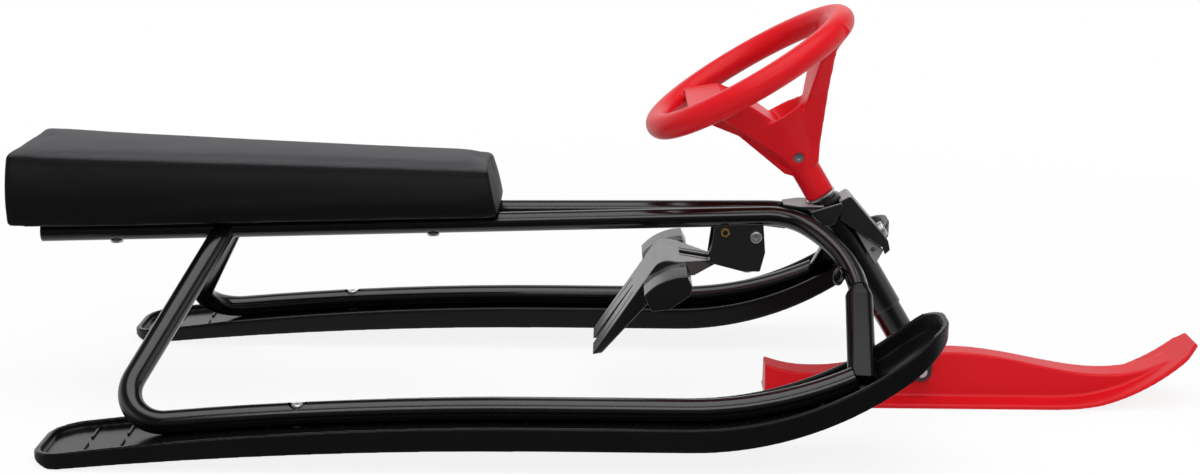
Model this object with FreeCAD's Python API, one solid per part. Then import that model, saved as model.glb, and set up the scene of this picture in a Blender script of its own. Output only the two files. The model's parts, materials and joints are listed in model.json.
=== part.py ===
import FreeCAD, Part
import math
import os

# Steering sled: a padded seat on two steel rails, two fixed runners, a front ski on a raked
# steering column and a foot brake under the rails.
# Frame: +X forwards, +Y to the rider's left, +Z up, in millimetres. The ground is Z = 0, where the
# runner tails and the front ski rest, and X = 0 is the middle of the overall length.

V = FreeCAD.Vector
UP = V(0, 0, 1)
ACROSS = V(0, 1, 0)

# Running clearances and seats
WELD_GAP = 0.05
PLAY = 0.2
RUNNING_CLEARANCE = 0.08
SCREW_CLEARANCE = 0.15

# Runners
RUNNER_TRACK = 414.0
RUNNER_WIDTH = 98.0
RUNNER_TAIL_X = -519.5
RUNNER_NOSE = 17.0
RUNNER_FLAT_START_X = -65.0
RUNNER_FLAT_END_X = 67.0
RUNNER_BELLY_Z = 22.0
RUNNER_TIP_RADIUS = 313.0
RUNNER_TIP_X = 296.0
RUNNER_RIM_STEEPER = 5.0
RUNNER_BEVEL_LENGTH = 17.0
RUNNER_BEVEL_ANGLE = 27.0
RUNNER_RIM_HEIGHT = 21.5
RUNNER_TAIL_RIM = 9.6
RUNNER_FLOOR = 13.0
RUNNER_TAIL_FLOOR = 6.5
RUNNER_DISH_FLOOR = 5.5
RUNNER_DISH_START_X = 240.0
RUNNER_RIM_WIDTH = 6.0
RUNNER_TIP_CORNER = 40.0
RUNNER_TAIL_CORNER = 30.0

# Lower tubes: runner rail, rear bend and rear strut
LOWER_TUBE_D = 22.0
TUBE_WALL = 1.5
RAIL_FLATTER = 52.0
RAIL_FRONT_END_X = 217.0
REAR_BEND_START_X = -404.0
REAR_BEND_RADIUS = 37.0
STRUT_TOP_X = -376.0

# Upper tubes: top rail, arch and front leg
TOP_TUBE_D = 19.0
RAIL_REAR_X = -549.5
RAIL_REAR_HALF_SPACING = 50.7
RAIL_REAR_Z = 170.6
RAIL_HEAD_X = 157.0
RAIL_HEAD_HALF_SPACING = 14.3
RAIL_HEAD_Z = 185.2
ARCH_RADIUS_UPPER = 55.0
ARCH_RADIUS_LOWER = 130.0
ARCH_UPPER_ANGLE = 45.0
LEG_ANGLE = 97.0
FOLD_ANGLE = 89.0
LEG_FOOT_X = 222.5
LEG_FOOT_Z = 76.0
LEG_WIDTH = 26.0
LEG_THICKNESS = 14.0
LEG_FLARE = 10.0
EYE_D = 18.5
EYE_WIRE_D = 3.5
EYE_X = 211.4
EYE_Y = 92.0
EYE_Z = 144.5
EYE_TURN = 37.0
PLUG_DEPTH = 18.0
PLUG_CAP = 2.5

# Runner screws
RUNNER_SCREW_X = -286.0
RUNNER_SCREW_D = 6.0
RUNNER_SCREW_HEAD_D = 11.0
RUNNER_SCREW_HEAD = 3.5
RUNNER_SCREW_DEPTH = 9.0
DIMPLE_DEPTH = 4.5
DIMPLE_D = 17.0
SOLE_SCREW_X = 187.0
SOLE_SCREW_GRIP = 7.0

# Seat
SEAT_REAR_X = -577.0
SEAT_LENGTH = 465.0
SEAT_REAR_HALF_WIDTH = 88.0
SEAT_FRONT_HALF_WIDTH = 61.0
SEAT_REAR_HEIGHT = 70.0
SEAT_FRONT_HEIGHT = 46.5
SEAT_CROWN = 2.5
SEAT_DRAW_IN = 2.5
SEAT_EDGE_RADIUS = 7.0
SEAT_SIDE_LEAN = 9.0
SEAT_FOOT_TUCK = 4.0
SEAT_FRONT_SLANT = 8.0
SEAT_LIFT = 0.3
BOARD_THICKNESS = 9.0
BOARD_INSET = 15.0
BOARD_POCKET_GAP = 0.3
SEAT_BOLT_FRONT = 65.0
SEAT_BOLT_REAR = 96.0
SEAT_BOLT_D = 6.0
SEAT_BOLT_HEAD_D = 12.0
SEAT_BOLT_HEAD = 2.5
TEE_NUT_D = 9.0

# Steering column, measured down its axis from the middle of the wheel
WHEEL_X = 128.0
WHEEL_Z = 325.0
STEERING_RAKE = 31.0
WHEEL_D = 228.0
WHEEL_RIM_D = 25.0
SLEEVE_D = 28.5
SLEEVE_BOTTOM = 141.0
SLEEVE_TOP = 110.0
CUP_LIP = 49.0
CUP_D = 73.0
CUP_WALL = 4.0
CUP_FLOOR = 76.0
COLUMN_D = 22.0
COLUMN_WALL = 2.5
COLUMN_TOP = 82.0
CLAMP_AT = 95.0
CLAMP_D = 6.0
CLAMP_HEAD_D = 10.0
CLAMP_HEAD = 3.0
CLAMP_HALF_GRIP = 13.0
WASHER_D = 30.0
WASHER_T = 2.0
COLLAR_D = 27.0
COLLAR_T = 4.0
BUSH_FLANGE = 3.0
BUSH_LENGTH = 20.0
HEAD_TUBE_D = 32.0
HEAD_TUBE_WALL = 2.5
HEAD_TUBE_LENGTH = 120.0

# Wheel spokes, measured from the middle of the wheel along its plane and down its axis
SPOKE_PLATE = 6.0
REAR_SPOKE_CHORD_FRONT = 34.0
REAR_SPOKE_CHORD_REAR = 67.0
REAR_SPOKE_CHORD_RISE = 8.0
REAR_SPOKE_CHORD_DROP = 4.0
REAR_SPOKE_SHOULDER = 14.0
REAR_SPOKE_SHOULDER_DEPTH = 25.0
REAR_SPOKE_FOOT = 3.0
REAR_SPOKE_BACK = 45.0
REAR_SPOKE_BACK_DEPTH = 21.0
REAR_SPOKE_HALF_WIDTH_HUB = 13.0
REAR_SPOKE_HALF_WIDTH_CUP = 39.0
REAR_SPOKE_HALF_WIDTH_RIM = 68.0
REAR_RIB_HALF_WIDTH = 9.0
REAR_RIB_TOP = 57.0
REAR_RIB_TOP_DEPTH = 27.0
REAR_RIB_KNEE = 40.0
REAR_RIB_FOOT = 20.0
FRONT_SPOKE_SLOPE = 46.0
FRONT_SPOKE_INSET = 10.5
FRONT_SPOKE_RISE = 10.0
FRONT_SPOKE_FRONT_INSET = 19.5
FRONT_SPOKE_FRONT_DEPTH = 17.0
FRONT_SPOKE_HEEL = 25.0
FRONT_SPOKE_HEEL_DEPTH = 94.0
FRONT_SPOKE_HALF_WIDTH_RIM = 57.0
FRONT_SPOKE_HALF_WIDTH_CUP = 27.0
FRONT_SPOKE_HALF_WIDTH_HUB = 14.0
FRONT_SPOKE_WALL = 5.0

# Steering head plates
PLATE = 3.0
SHIELD_HALF_WIDTH = 20.0
SHIELD_TOP_REACH = 25.0
SHIELD_BOTTOM_REACH = 35.0
SHIELD_BELOW_TOP = 2.5
SHIELD_LENGTH = 58.0
FRONT_BOLT_AT = 202.0
FRONT_BOLT_D = 8.0
FRONT_BOLT_HEAD_D = 15.0
FRONT_BOLT_HEAD = 5.0
UPPER_GUSSET_REAR = 17.0
UPPER_GUSSET_FRONT = 14.4
UPPER_GUSSET_RISE = 3.8
UPPER_GUSSET_DROP = 19.0
LOWER_GUSSET_SETBACK = 8.0
LOWER_GUSSET_OUT = 11.0
LOWER_GUSSET_DROP = 16.5
TOW_HOLE_D = 5.0
TOP_PLATE_REAR_X = 164.0
TOP_PLATE_FRONT_X = 203.0
TOP_PLATE_HALF_WIDTH = 22.0

# Ski fork and front ski
FORK_SOCKET_D = 29.0
SKI_PIVOT_X = 304.0
SKI_PIVOT_Z = 31.0
SKI_PIVOT_D = 8.0
FORK_CHEEK_GAP = 39.0
FORK_PLATE = 3.5
FORK_BRIDGE_Z = 57.0
FORK_BRIDGE_REAR = 15.0
FORK_BRIDGE_FRONT = 26.0
FORK_EAR_RADIUS = 10.0
SKI_SLEEVE_D = 12.0
SKI_REAR_X = 150.0
SKI_TIP_X = 577.0
SKI_WIDTH = 96.0
SKI_TIP_WIDTH = 64.0
SKI_BASE = 5.0
SKI_UPTURN_X = 437.0
SKI_UPTURN_RADIUS = 196.0
SKI_TIP_CORNER = 13.0
SKI_REAR_CORNER = 16.0
SKI_TAPER_X = 477.0
SPINE_REAR_Z = 35.0
SPINE_WAIST_X = 238.0
SPINE_WAIST_Z = 30.5
SPINE_HUMP_X = 319.0
SPINE_HUMP_Z = 47.5
SPINE_SHOULDER_X = 387.0
SPINE_SHOULDER_Z = 43.0
SPINE_LOW_X = 460.0
SPINE_LOW_Z = 29.5
SPINE_END_X = 559.0
SPINE_FOOT_WIDTH = 42.0
SPINE_TOP_WIDTH = 27.0
SPINE_WALL = 4.0
SPINE_REF_Z = 48.0

# Brake
BRAKE_PIVOT_X = 137.0
BRAKE_PIVOT_Z = 166.0
BRAKE_PIVOT_D = 8.0
BRAKE_BUSH_D = 11.0
BRAKE_BOSS_D = 16.0
BRACKET_HALF_WIDTH = 24.0
BRACKET_PLATE = 2.5
BRACKET_REAR = 45.0
BRACKET_FRONT = 9.5
BRACKET_DROP = 35.0
BRACKET_RISE = 13.0
BRACKET_FLOOR_LENGTH = 17.0
STOP_PIN_X = 107.0
STOP_PIN_Z = 170.5
STOP_PIN_D = 5.0
ANCHOR_X = 131.0
ANCHOR_D = 5.0
ANCHOR_HEAD = 5.5
BOLT_HEAD_D = 11.5
BOLT_HEAD = 4.0
NUT_HEIGHT = 5.0
BOLT_PROUD = 1.0
BUSH_PROUD = 1.0
NUT_ACROSS = 13.0
SMALL_NUT_ACROSS = 8.0
LEVER_HALF_WIDTH = 48.0
LEVER_FORK_HALF_WIDTH = 20.0
LEVER_FORK_SLOT = 14.0
LEVER_ARM_DEPTH = 14.0
LEVER_CLAW_DEPTH = 21.0
LEVER_BEND_BACK = 93.5
LEVER_BEND_DROP = 17.3
LEVER_BEND_RADIUS = 16.0
LEVER_CLAW_SLOPE = 56.0
LEVER_CLAW_LENGTH = 116.5
LEVER_ARM_SLOPE = 9.0
LEVER_ARM_LENGTH = 50.0
LEVER_ARM_FLAT = 20.0
LEVER_ARM_END = 7.0
LEVER_STOP_GAP = 0.3
CLAW_TIP = 7.0
CLAW_TIP_SETBACK = 7.0
CLAW_SLOT = 19.0
CLAW_SLOT_TOP = 4.0
CLAW_SLOT_LENGTH = 70.0
CLAW_GROOVE = 2.5
CLAW_GROOVE_DEPTH = 1.5
CLAW_GROOVE_Y = 28.0
CLAW_GROOVE_TIP_Y = 34.0
ARM_GROOVE_Y = 14.0
PEG_WIDTH = 46.0
PEG_HEIGHT = 34.7
PEG_REACH = 105.0
PEG_ROD_D = 10.0
PEG_ROD_X = 50.0
PEG_ROD_Z = 129.0
PEG_WALL_END = 8.0
PEG_CORNERS = ((-0.49, -0.075), (-0.33, -0.52), (0.04, -0.46), (0.45, -0.06), (0.505, 0.16), (0.39, 0.48))
PEG_TREAD = (-0.09, 0.33)
PEG_GROOVES = 3
PEG_GROOVE = 3.0
PEG_GROOVE_PITCH = 6.5
PEG_GROOVE_DEPTH = 1.5
SPRING_WIRE_D = 2.0
SPRING_TURNS = 3
SPRING_PITCH = 2.6
SPRING_SEAT_GAP = 0.6
SPRING_REAR_SLOPE = 35.0
SPRING_FRONT_SLOPE = 8.0
SPRING_FRONT_LEG = 30.0
SPRING_REAR_LEG = 30.0

# Worked-out places
TRACK_Y = RUNNER_TRACK / 2
RUNNER_TIP_RIM_RADIUS = RUNNER_TIP_RADIUS - RUNNER_RIM_STEEPER
RAIL_FRONT_RADIUS = RUNNER_TIP_RADIUS + RAIL_FLATTER
TOP_R = TOP_TUBE_D / 2
LOWER_R = LOWER_TUBE_D / 2
RAIL_FLAT_Z = RUNNER_BELLY_Z + RUNNER_FLOOR + LOWER_R + WELD_GAP
HEAD_TOP = SLEEVE_BOTTOM + WASHER_T + COLLAR_T + PLAY + BUSH_FLANGE
HEAD_BOTTOM = HEAD_TOP + HEAD_TUBE_LENGTH
FORK_TOP = HEAD_BOTTOM + BUSH_FLANGE + PLAY
RAKE = math.radians(STEERING_RAKE)
HEX_CORNERS = 2 / math.sqrt(3)


def save(name, shape):
    shape.exportStep(os.path.join("parts", name + ".step"))


def mirrored(shape):
    return shape.mirror(V(0, 0, 0), ACROSS)


def save_pair(name, right_shape):
    save("right_" + name, right_shape)
    save("left_" + name, mirrored(right_shape))


def cylinder(diameter, start, direction, length):
    return Part.makeCylinder(diameter / 2, length, start, direction)


def ring(outer, inner, start, direction, length):
    return cylinder(outer, start, direction, length).cut(cylinder(inner, start, direction, length))


def cross_cylinder(diameter, x, z, y_from, y_to):
    return cylinder(diameter, V(x, y_from, z), ACROSS, y_to - y_from)


def hexagon(across_flats, start, direction, length):
    radius = across_flats / math.sqrt(3)
    side = direction.cross(V(0.3, 0.2, 0.9)).normalize()
    other = direction.cross(side)
    points = []
    for k in range(7):
        turn = math.radians(60 * k)
        points.append(start + side * (radius * math.cos(turn)) + other * (radius * math.sin(turn)))
    return Part.Face(Part.makePolygon(points)).extrude(direction * length)


def side_prism(points, y_from, y_to):
    # A closed side view, given as (x, z) points, drawn out across the sled.
    outline = [V(x, y_from, z) for x, z in points]
    outline.append(outline[0])
    return Part.Face(Part.makePolygon(outline)).extrude(V(0, y_to - y_from, 0))


def plan_prism(points, z_from, z_to):
    outline = [V(x, y, z_from) for x, y in points]
    outline.append(outline[0])
    return Part.Face(Part.makePolygon(outline)).extrude(V(0, 0, z_to - z_from))


def arc(first, middle, last):
    return Part.Arc(first, middle, last).toShape()


def line(first, last):
    return Part.makeLine(first, last)


def rounded_plan(x_rear, x_front, y_mid, half_width, rear_corner, front_corner, z_from, z_to):
    # A plan outline with rounded corners, drawn out upwards.
    bulge = 1 - math.sqrt(0.5)
    y_low = y_mid - half_width
    y_high = y_mid + half_width
    r = rear_corner
    f = front_corner
    edges = [
        line(V(x_rear + r, y_low, z_from), V(x_front - f, y_low, z_from)),
        arc(V(x_front - f, y_low, z_from), V(x_front - f * bulge, y_low + f * bulge, z_from),
            V(x_front, y_low + f, z_from)),
        line(V(x_front, y_low + f, z_from), V(x_front, y_high - f, z_from)),
        arc(V(x_front, y_high - f, z_from), V(x_front - f * bulge, y_high - f * bulge, z_from),
            V(x_front - f, y_high, z_from)),
        line(V(x_front - f, y_high, z_from), V(x_rear + r, y_high, z_from)),
        arc(V(x_rear + r, y_high, z_from), V(x_rear + r * bulge, y_high - r * bulge, z_from),
            V(x_rear, y_high - r, z_from)),
        line(V(x_rear, y_high - r, z_from), V(x_rear, y_low + r, z_from)),
        arc(V(x_rear, y_low + r, z_from), V(x_rear + r * bulge, y_low + r * bulge, z_from),
            V(x_rear + r, y_low, z_from)),
    ]
    return Part.Face(Part.Wire(edges)).extrude(V(0, 0, z_to - z_from))


def swept(path, radius):
    # A round bar along a path of straight runs and tangent arcs.
    start = path.OrderedVertexes[0].Point
    first = path.OrderedEdges[0]
    at_start = first.FirstParameter
    if first.valueAt(at_start).distanceToPoint(start) > 0.001:
        at_start = first.LastParameter
    section = Part.Wire([Part.makeCircle(radius, start, first.tangentAt(at_start))])
    return path.makePipeShell([section], True, False)


def tube(path, outer_d):
    solid = swept(path, outer_d / 2)
    return solid, solid.cut(swept(path, outer_d / 2 - TUBE_WALL))


def on_column(shape):
    # From the wheel's own frame, with the steering axis as Z, to the sled's frame.
    placed = shape.copy()
    turn = FreeCAD.Rotation(ACROSS, -STEERING_RAKE)
    placed.Placement = FreeCAD.Placement(V(WHEEL_X, 0, WHEEL_Z), turn)
    return placed


# Runners


def belly_radius(tail_x, tail_z, height):
    # Radius of the long arc that is level where the flat begins and passes through the tail.
    run = RUNNER_FLAT_START_X - tail_x
    drop = RUNNER_BELLY_Z + height - tail_z
    return (run * run + drop * drop) / (2 * drop)


def arc_point(centre_x, centre_z, radius, degrees):
    # Degrees are measured from straight down, positive forwards.
    turn = math.radians(degrees)
    return V(centre_x + radius * math.sin(turn), 0, centre_z - radius * math.cos(turn))


def runner_line(height, tail_x, tail_z, radius):
    # The runner's side line at a height above its sole: tail arc, flat and upturned tip.
    z = RUNNER_BELLY_Z + height
    tail_radius = belly_radius(tail_x, tail_z, height)
    tail_mid_x = (tail_x + RUNNER_FLAT_START_X) / 2
    run = RUNNER_FLAT_START_X - tail_mid_x
    tail_mid_z = z - tail_radius + math.sqrt(tail_radius * tail_radius - run * run)
    start = V(RUNNER_FLAT_START_X, 0, z)
    end = V(RUNNER_FLAT_END_X, 0, z)
    past_tip = RUNNER_TIP_X + RUNNER_RIM_WIDTH - RUNNER_FLAT_END_X
    turn = math.degrees(math.asin(past_tip / radius))
    tip_mid = arc_point(RUNNER_FLAT_END_X, z + radius, radius, turn / 2)
    tip = arc_point(RUNNER_FLAT_END_X, z + radius, radius, turn)
    edges = [
        arc(V(tail_x, 0, tail_z), V(tail_mid_x, 0, tail_mid_z), start),
        line(start, end),
        arc(end, tip_mid, tip),
    ]
    return edges, V(tail_x, 0, tail_z), tip


def runner_band(lower, upper, y_low, y_high):
    # The solid between two side lines.
    low_edges, low_tail, low_tip = lower
    high_edges, high_tail, high_tip = upper
    edges = low_edges + [line(low_tip, high_tip)] + high_edges + [line(high_tail, low_tail)]
    face = Part.Face(Part.Wire(Part.__sortEdges__(edges)))
    face.translate(V(0, y_low, 0))
    return face.extrude(V(0, y_high - y_low, 0))


def tip_bevel(y_low, y_high):
    # What is trimmed off the rim at the very tip, above a flatter plane.
    start_x = RUNNER_TIP_X - RUNNER_BEVEL_LENGTH
    run = start_x - RUNNER_FLAT_END_X
    radius = RUNNER_TIP_RIM_RADIUS
    start_z = RUNNER_BELLY_Z + RUNNER_RIM_HEIGHT + radius - math.sqrt(radius ** 2 - run ** 2)
    past = 2 * RUNNER_BEVEL_LENGTH
    rise = past * math.tan(math.radians(RUNNER_BEVEL_ANGLE))
    points = [(start_x, start_z), (start_x + past, start_z + rise), (start_x + past, start_z + radius),
              (start_x, start_z + radius)]
    return side_prism(points, y_low, y_high)


def make_runner():
    half = RUNNER_WIDTH / 2
    y_low = -TRACK_Y - half
    y_high = -TRACK_Y + half
    top_z = RUNNER_BELLY_Z + RUNNER_TIP_RADIUS
    contact_x = RUNNER_TAIL_X + RUNNER_NOSE
    sole = runner_line(0, contact_x, 0, RUNNER_TIP_RADIUS)
    # The rim line runs on behind the tail, so the sole's end slopes up before the outline trims it.
    rim = runner_line(RUNNER_RIM_HEIGHT, RUNNER_TAIL_X - RUNNER_NOSE, RUNNER_TAIL_RIM, RUNNER_TIP_RIM_RADIUS)
    outline = rounded_plan(RUNNER_TAIL_X, RUNNER_TIP_X, -TRACK_Y, half,
                           RUNNER_TAIL_CORNER, RUNNER_TIP_CORNER, -1, top_z)
    body = runner_band(sole, rim, y_low, y_high).common(outline)
    body = body.cut(tip_bevel(y_low, y_high))
    under_rail = RAIL_FRONT_RADIUS + LOWER_R + WELD_GAP
    floor = runner_line(RUNNER_FLOOR, RUNNER_TAIL_X, RUNNER_TAIL_FLOOR, under_rail)
    dish = runner_line(RUNNER_DISH_FLOOR, RUNNER_TAIL_X, RUNNER_TAIL_FLOOR, RUNNER_TIP_RADIUS)
    sky_height = 4 * RUNNER_RIM_HEIGHT
    sky = runner_line(sky_height, RUNNER_TAIL_X, sky_height, RUNNER_TIP_RADIUS)
    rim_width = RUNNER_RIM_WIDTH
    inside = rounded_plan(RUNNER_TAIL_X + rim_width, RUNNER_TIP_X - rim_width, -TRACK_Y, half - rim_width,
                          RUNNER_TAIL_CORNER - rim_width, RUNNER_TIP_CORNER - rim_width, -1, top_z)
    long_part = RUNNER_DISH_START_X - RUNNER_TAIL_X
    behind = Part.makeBox(long_part, RUNNER_WIDTH, top_z, V(RUNNER_TAIL_X, y_low, 0))
    recess = runner_band(floor, sky, y_low, y_high).common(inside).common(behind)
    front = Part.makeBox(RUNNER_TIP_RADIUS, RUNNER_WIDTH, top_z, V(RUNNER_DISH_START_X, y_low, 0))
    tip_dish = runner_band(dish, sky, y_low, y_high).common(inside).common(front)
    return body.cut(recess).cut(tip_dish)


# Lower tubes


def rail_tail_arc():
    # Centre height and radius of the long arc that the rail follows behind the flat.
    floor_radius = belly_radius(RUNNER_TAIL_X, RUNNER_TAIL_FLOOR, RUNNER_FLOOR)
    return RUNNER_BELLY_Z + RUNNER_FLOOR - floor_radius, floor_radius + LOWER_R + WELD_GAP


def rail_tail_z(x):
    centre_z, radius = rail_tail_arc()
    run = RUNNER_FLAT_START_X - x
    return centre_z + math.sqrt(radius * radius - run * run)


def rail_front_z(x):
    run = x - RUNNER_FLAT_END_X
    return RAIL_FLAT_Z + RAIL_FRONT_RADIUS - math.sqrt(RAIL_FRONT_RADIUS ** 2 - run * run)


def bend_corner(bend_start, rail_direction, strut_top):
    # The corner where rail and strut would meet. Its distance depends on the strut's slope,
    # so the two are settled together by repetition.
    reach = REAR_BEND_RADIUS
    for _ in range(40):
        corner = bend_start + rail_direction * reach
        strut_direction = (strut_top - corner).normalize()
        turn = math.acos(rail_direction.dot(strut_direction))
        reach = REAR_BEND_RADIUS * math.tan(turn / 2)
    return corner, strut_direction, reach


def runner_rail_path():
    y = -TRACK_Y
    front_mid_x = (RUNNER_FLAT_END_X + RAIL_FRONT_END_X) / 2
    front = V(RAIL_FRONT_END_X, y, rail_front_z(RAIL_FRONT_END_X))
    flat_front = V(RUNNER_FLAT_END_X, y, RAIL_FLAT_Z)
    flat_rear = V(RUNNER_FLAT_START_X, y, RAIL_FLAT_Z)
    tail_mid_x = (RUNNER_FLAT_START_X + REAR_BEND_START_X) / 2
    bend_start = V(REAR_BEND_START_X, y, rail_tail_z(REAR_BEND_START_X))
    centre_z, radius = rail_tail_arc()
    slope = math.asin((RUNNER_FLAT_START_X - REAR_BEND_START_X) / radius)
    rail_direction = V(-math.cos(slope), 0, -math.sin(slope))
    strut_top = rail_axis_point(STRUT_TOP_X)
    corner, strut_direction, reach = bend_corner(bend_start, rail_direction, strut_top)
    bend_end = corner + strut_direction * reach
    inward = (strut_direction - rail_direction).normalize()
    to_centre = math.sqrt(reach ** 2 + REAR_BEND_RADIUS ** 2)
    bend_mid = corner + inward * (to_centre - REAR_BEND_RADIUS)
    edges = [
        arc(front, V(front_mid_x, y, rail_front_z(front_mid_x)), flat_front),
        line(flat_front, flat_rear),
        arc(flat_rear, V(tail_mid_x, y, rail_tail_z(tail_mid_x)), bend_start),
        arc(bend_start, bend_mid, bend_end),
        line(bend_end, strut_top),
    ]
    return Part.Wire(edges)


def dimple_z():
    return rail_tail_z(RUNNER_SCREW_X) + LOWER_R - DIMPLE_DEPTH


def make_runner_rail(top_rail_solid):
    solid, hollow = tube(runner_rail_path(), LOWER_TUBE_D)
    seat_z = dimple_z()
    seat = V(RUNNER_SCREW_X, -TRACK_Y, seat_z)
    above = cylinder(DIMPLE_D, seat, UP, LOWER_TUBE_D)
    pressed = cylinder(DIMPLE_D, seat - UP * TUBE_WALL, UP, TUBE_WALL).common(solid)
    hollow = hollow.cut(above).fuse(pressed)
    shank = cylinder(RUNNER_SCREW_D + 2 * SCREW_CLEARANCE, seat - UP * LOWER_TUBE_D, UP, 2 * LOWER_TUBE_D)
    sole_shank = cylinder(RUNNER_SCREW_D, V(SOLE_SCREW_X, -TRACK_Y, 0), UP, rail_front_z(SOLE_SCREW_X))
    return solid, hollow.cut(shank).cut(sole_shank).cut(top_rail_solid).removeSplitter()


def sole_z(x):
    run = x - RUNNER_FLAT_END_X
    return RUNNER_BELLY_Z + RUNNER_TIP_RADIUS - math.sqrt(RUNNER_TIP_RADIUS ** 2 - run * run)


def make_runner_screws():
    screws = []
    for side in (-1, 1):
        seat = V(RUNNER_SCREW_X, side * TRACK_Y, dimple_z())
        head = cylinder(RUNNER_SCREW_HEAD_D, seat, UP, RUNNER_SCREW_HEAD)
        head = head.makeFillet(RUNNER_SCREW_HEAD / 2, [head.Edges[0]])
        bottom = rail_tail_z(RUNNER_SCREW_X) - LOWER_R - RUNNER_SCREW_DEPTH
        shank = cylinder(RUNNER_SCREW_D, V(seat.x, seat.y, bottom), UP, seat.z - bottom)
        top = seat + UP * RUNNER_SCREW_HEAD
        socket = hexagon(RUNNER_SCREW_D / 2, top, V(0, 0, -1), RUNNER_SCREW_HEAD / 2)
        screws.append(head.fuse(shank).cut(socket).removeSplitter())
    return screws


def sole_screw(side):
    # Comes up through the sole into the rail, its head sunk below the running face.
    run_in = sole_z(SOLE_SCREW_X - RUNNER_SCREW_HEAD_D / 2)
    head_low = sole_z(SOLE_SCREW_X + RUNNER_SCREW_HEAD_D / 2)
    foot = V(SOLE_SCREW_X, side * TRACK_Y, head_low)
    top = rail_front_z(SOLE_SCREW_X) - LOWER_R + SOLE_SCREW_GRIP
    head = Part.makeCone(RUNNER_SCREW_HEAD_D / 2, RUNNER_SCREW_D / 2, RUNNER_SCREW_HEAD, foot, UP)
    shank = cylinder(RUNNER_SCREW_D, foot, UP, top - head_low)
    mouth = cylinder(RUNNER_SCREW_HEAD_D, V(foot.x, foot.y, run_in - RUNNER_RIM_HEIGHT), UP,
                     head_low - run_in + RUNNER_RIM_HEIGHT)
    return head.fuse(shank).removeSplitter(), mouth


# Upper tubes


def rail_ends(side=-1):
    rear = V(RAIL_REAR_X, side * RAIL_REAR_HALF_SPACING, RAIL_REAR_Z)
    head = V(RAIL_HEAD_X, side * RAIL_HEAD_HALF_SPACING, RAIL_HEAD_Z)
    return rear, head


def rail_axis_point(x, side=-1):
    rear, head = rail_ends(side)
    return rear + (head - rear) * ((x - rear.x) / (head.x - rear.x))


def rail_slope():
    rear, head = rail_ends()
    return math.atan2(head.z - rear.z, head.x - rear.x)


def arch_frame():
    # Straight direction of the rail, the direction across to the foot, and how far the foot lies
    # along and across.
    rear, head = rail_ends()
    along = (head - rear).normalize()
    foot = V(LEG_FOOT_X, -TRACK_Y, LEG_FOOT_Z)
    run = (foot - rear).dot(along)
    across = foot - rear - along * run
    distance = across.Length
    return rear, along, across.normalize(), run, distance, foot


def top_rail_path():
    rear, along, across, run, distance, foot = arch_frame()
    a = math.radians(ARCH_UPPER_ANGLE)
    t = math.radians(LEG_ANGLE)
    upper = ARCH_RADIUS_UPPER
    lower = ARCH_RADIUS_LOWER
    leg = (distance - upper * (1 - math.cos(a)) - lower * (math.cos(a) - math.cos(t))) / math.sin(t)
    start_run = run - upper * math.sin(a) - lower * (math.sin(t) - math.sin(a)) - leg * math.cos(t)
    start = rear + along * start_run
    upper_centre = start + across * upper

    def round_point(centre, radius, turn):
        return centre + along * (radius * math.sin(turn)) - across * (radius * math.cos(turn))

    middle = round_point(upper_centre, upper, a)
    lower_centre = middle - along * (lower * math.sin(a)) + across * (lower * math.cos(a))
    f = math.radians(FOLD_ANGLE)
    fold = round_point(lower_centre, lower, f)
    fold_direction = along * math.cos(f) + across * math.sin(f)
    edges = [
        line(rear, start),
        arc(start, round_point(upper_centre, upper, a / 2), middle),
        arc(middle, round_point(lower_centre, lower, (a + f) / 2), fold),
    ]
    return Part.Wire(edges), fold, fold_direction, foot, along


def seat_bolt_points():
    points = []
    for side in (-1, 1):
        for at in (SEAT_BOLT_REAR, SEAT_LENGTH - SEAT_BOLT_FRONT):
            points.append(rail_axis_point(SEAT_REAR_X + at, side))
    return points


def seat_up():
    return V(-math.sin(rail_slope()), 0, math.cos(rail_slope()))


def make_top_rail():
    path, fold, fold_direction, foot, along = top_rail_path()
    solid, hollow = tube(path, TOP_TUBE_D)
    for point in seat_bolt_points():
        under = point - seat_up() * TOP_TUBE_D
        hole = cylinder(SEAT_BOLT_D + 2 * SCREW_CLEARANCE, under, seat_up(), 2 * TOP_TUBE_D)
        hollow = hollow.cut(hole)
    return solid, hollow


def leg_axes(direction, along):
    # The leg's wide and thin directions at a place where it points in the given direction.
    wide = (along - direction * along.dot(direction)).normalize()
    return wide, direction.cross(wide)


def make_front_leg(top_rail_solid, runner_rail_solid, runner):
    # Flattened lower end: pressed from the round tube to an oval that is wide along the sled, and
    # straight from there to the runner rail.
    path, fold, fold_direction, foot, along = top_rail_path()
    start = fold + fold_direction * WELD_GAP
    down = (foot - start).normalize()
    wide, thin = leg_axes(down, along)
    pressed = start + down * LEG_FLARE
    flat = (LEG_WIDTH - LEG_THICKNESS) / 2
    r = LEG_THICKNESS / 2
    corners = [pressed + wide * flat + thin * r, pressed - wide * flat + thin * r,
               pressed - wide * flat - thin * r, pressed + wide * flat - thin * r]
    oval = Part.Wire([
        line(corners[0], corners[1]),
        arc(corners[1], pressed - wide * (flat + r), corners[2]),
        line(corners[2], corners[3]),
        arc(corners[3], pressed + wide * (flat + r), corners[0]),
    ])
    wide, thin = leg_axes(fold_direction, along)
    corner_turn = math.degrees(math.atan2(r, flat))

    def on_circle(degrees):
        turn = math.radians(degrees)
        return start + wide * (TOP_R * math.cos(turn)) + thin * (TOP_R * math.sin(turn))

    stops = [corner_turn, 180 - corner_turn, 180 + corner_turn, 360 - corner_turn, 360 + corner_turn]
    arcs = []
    for k in range(4):
        halfway = (stops[k] + stops[k + 1]) / 2
        arcs.append(arc(on_circle(stops[k]), on_circle(halfway), on_circle(stops[k + 1])))
    flare = Part.makeLoft([Part.Wire(arcs), oval], True, True)
    leg = flare.fuse(Part.Face(oval).extrude(foot - pressed))
    return leg.cut(top_rail_solid).cut(runner_rail_solid).cut(runner).removeSplitter()


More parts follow.
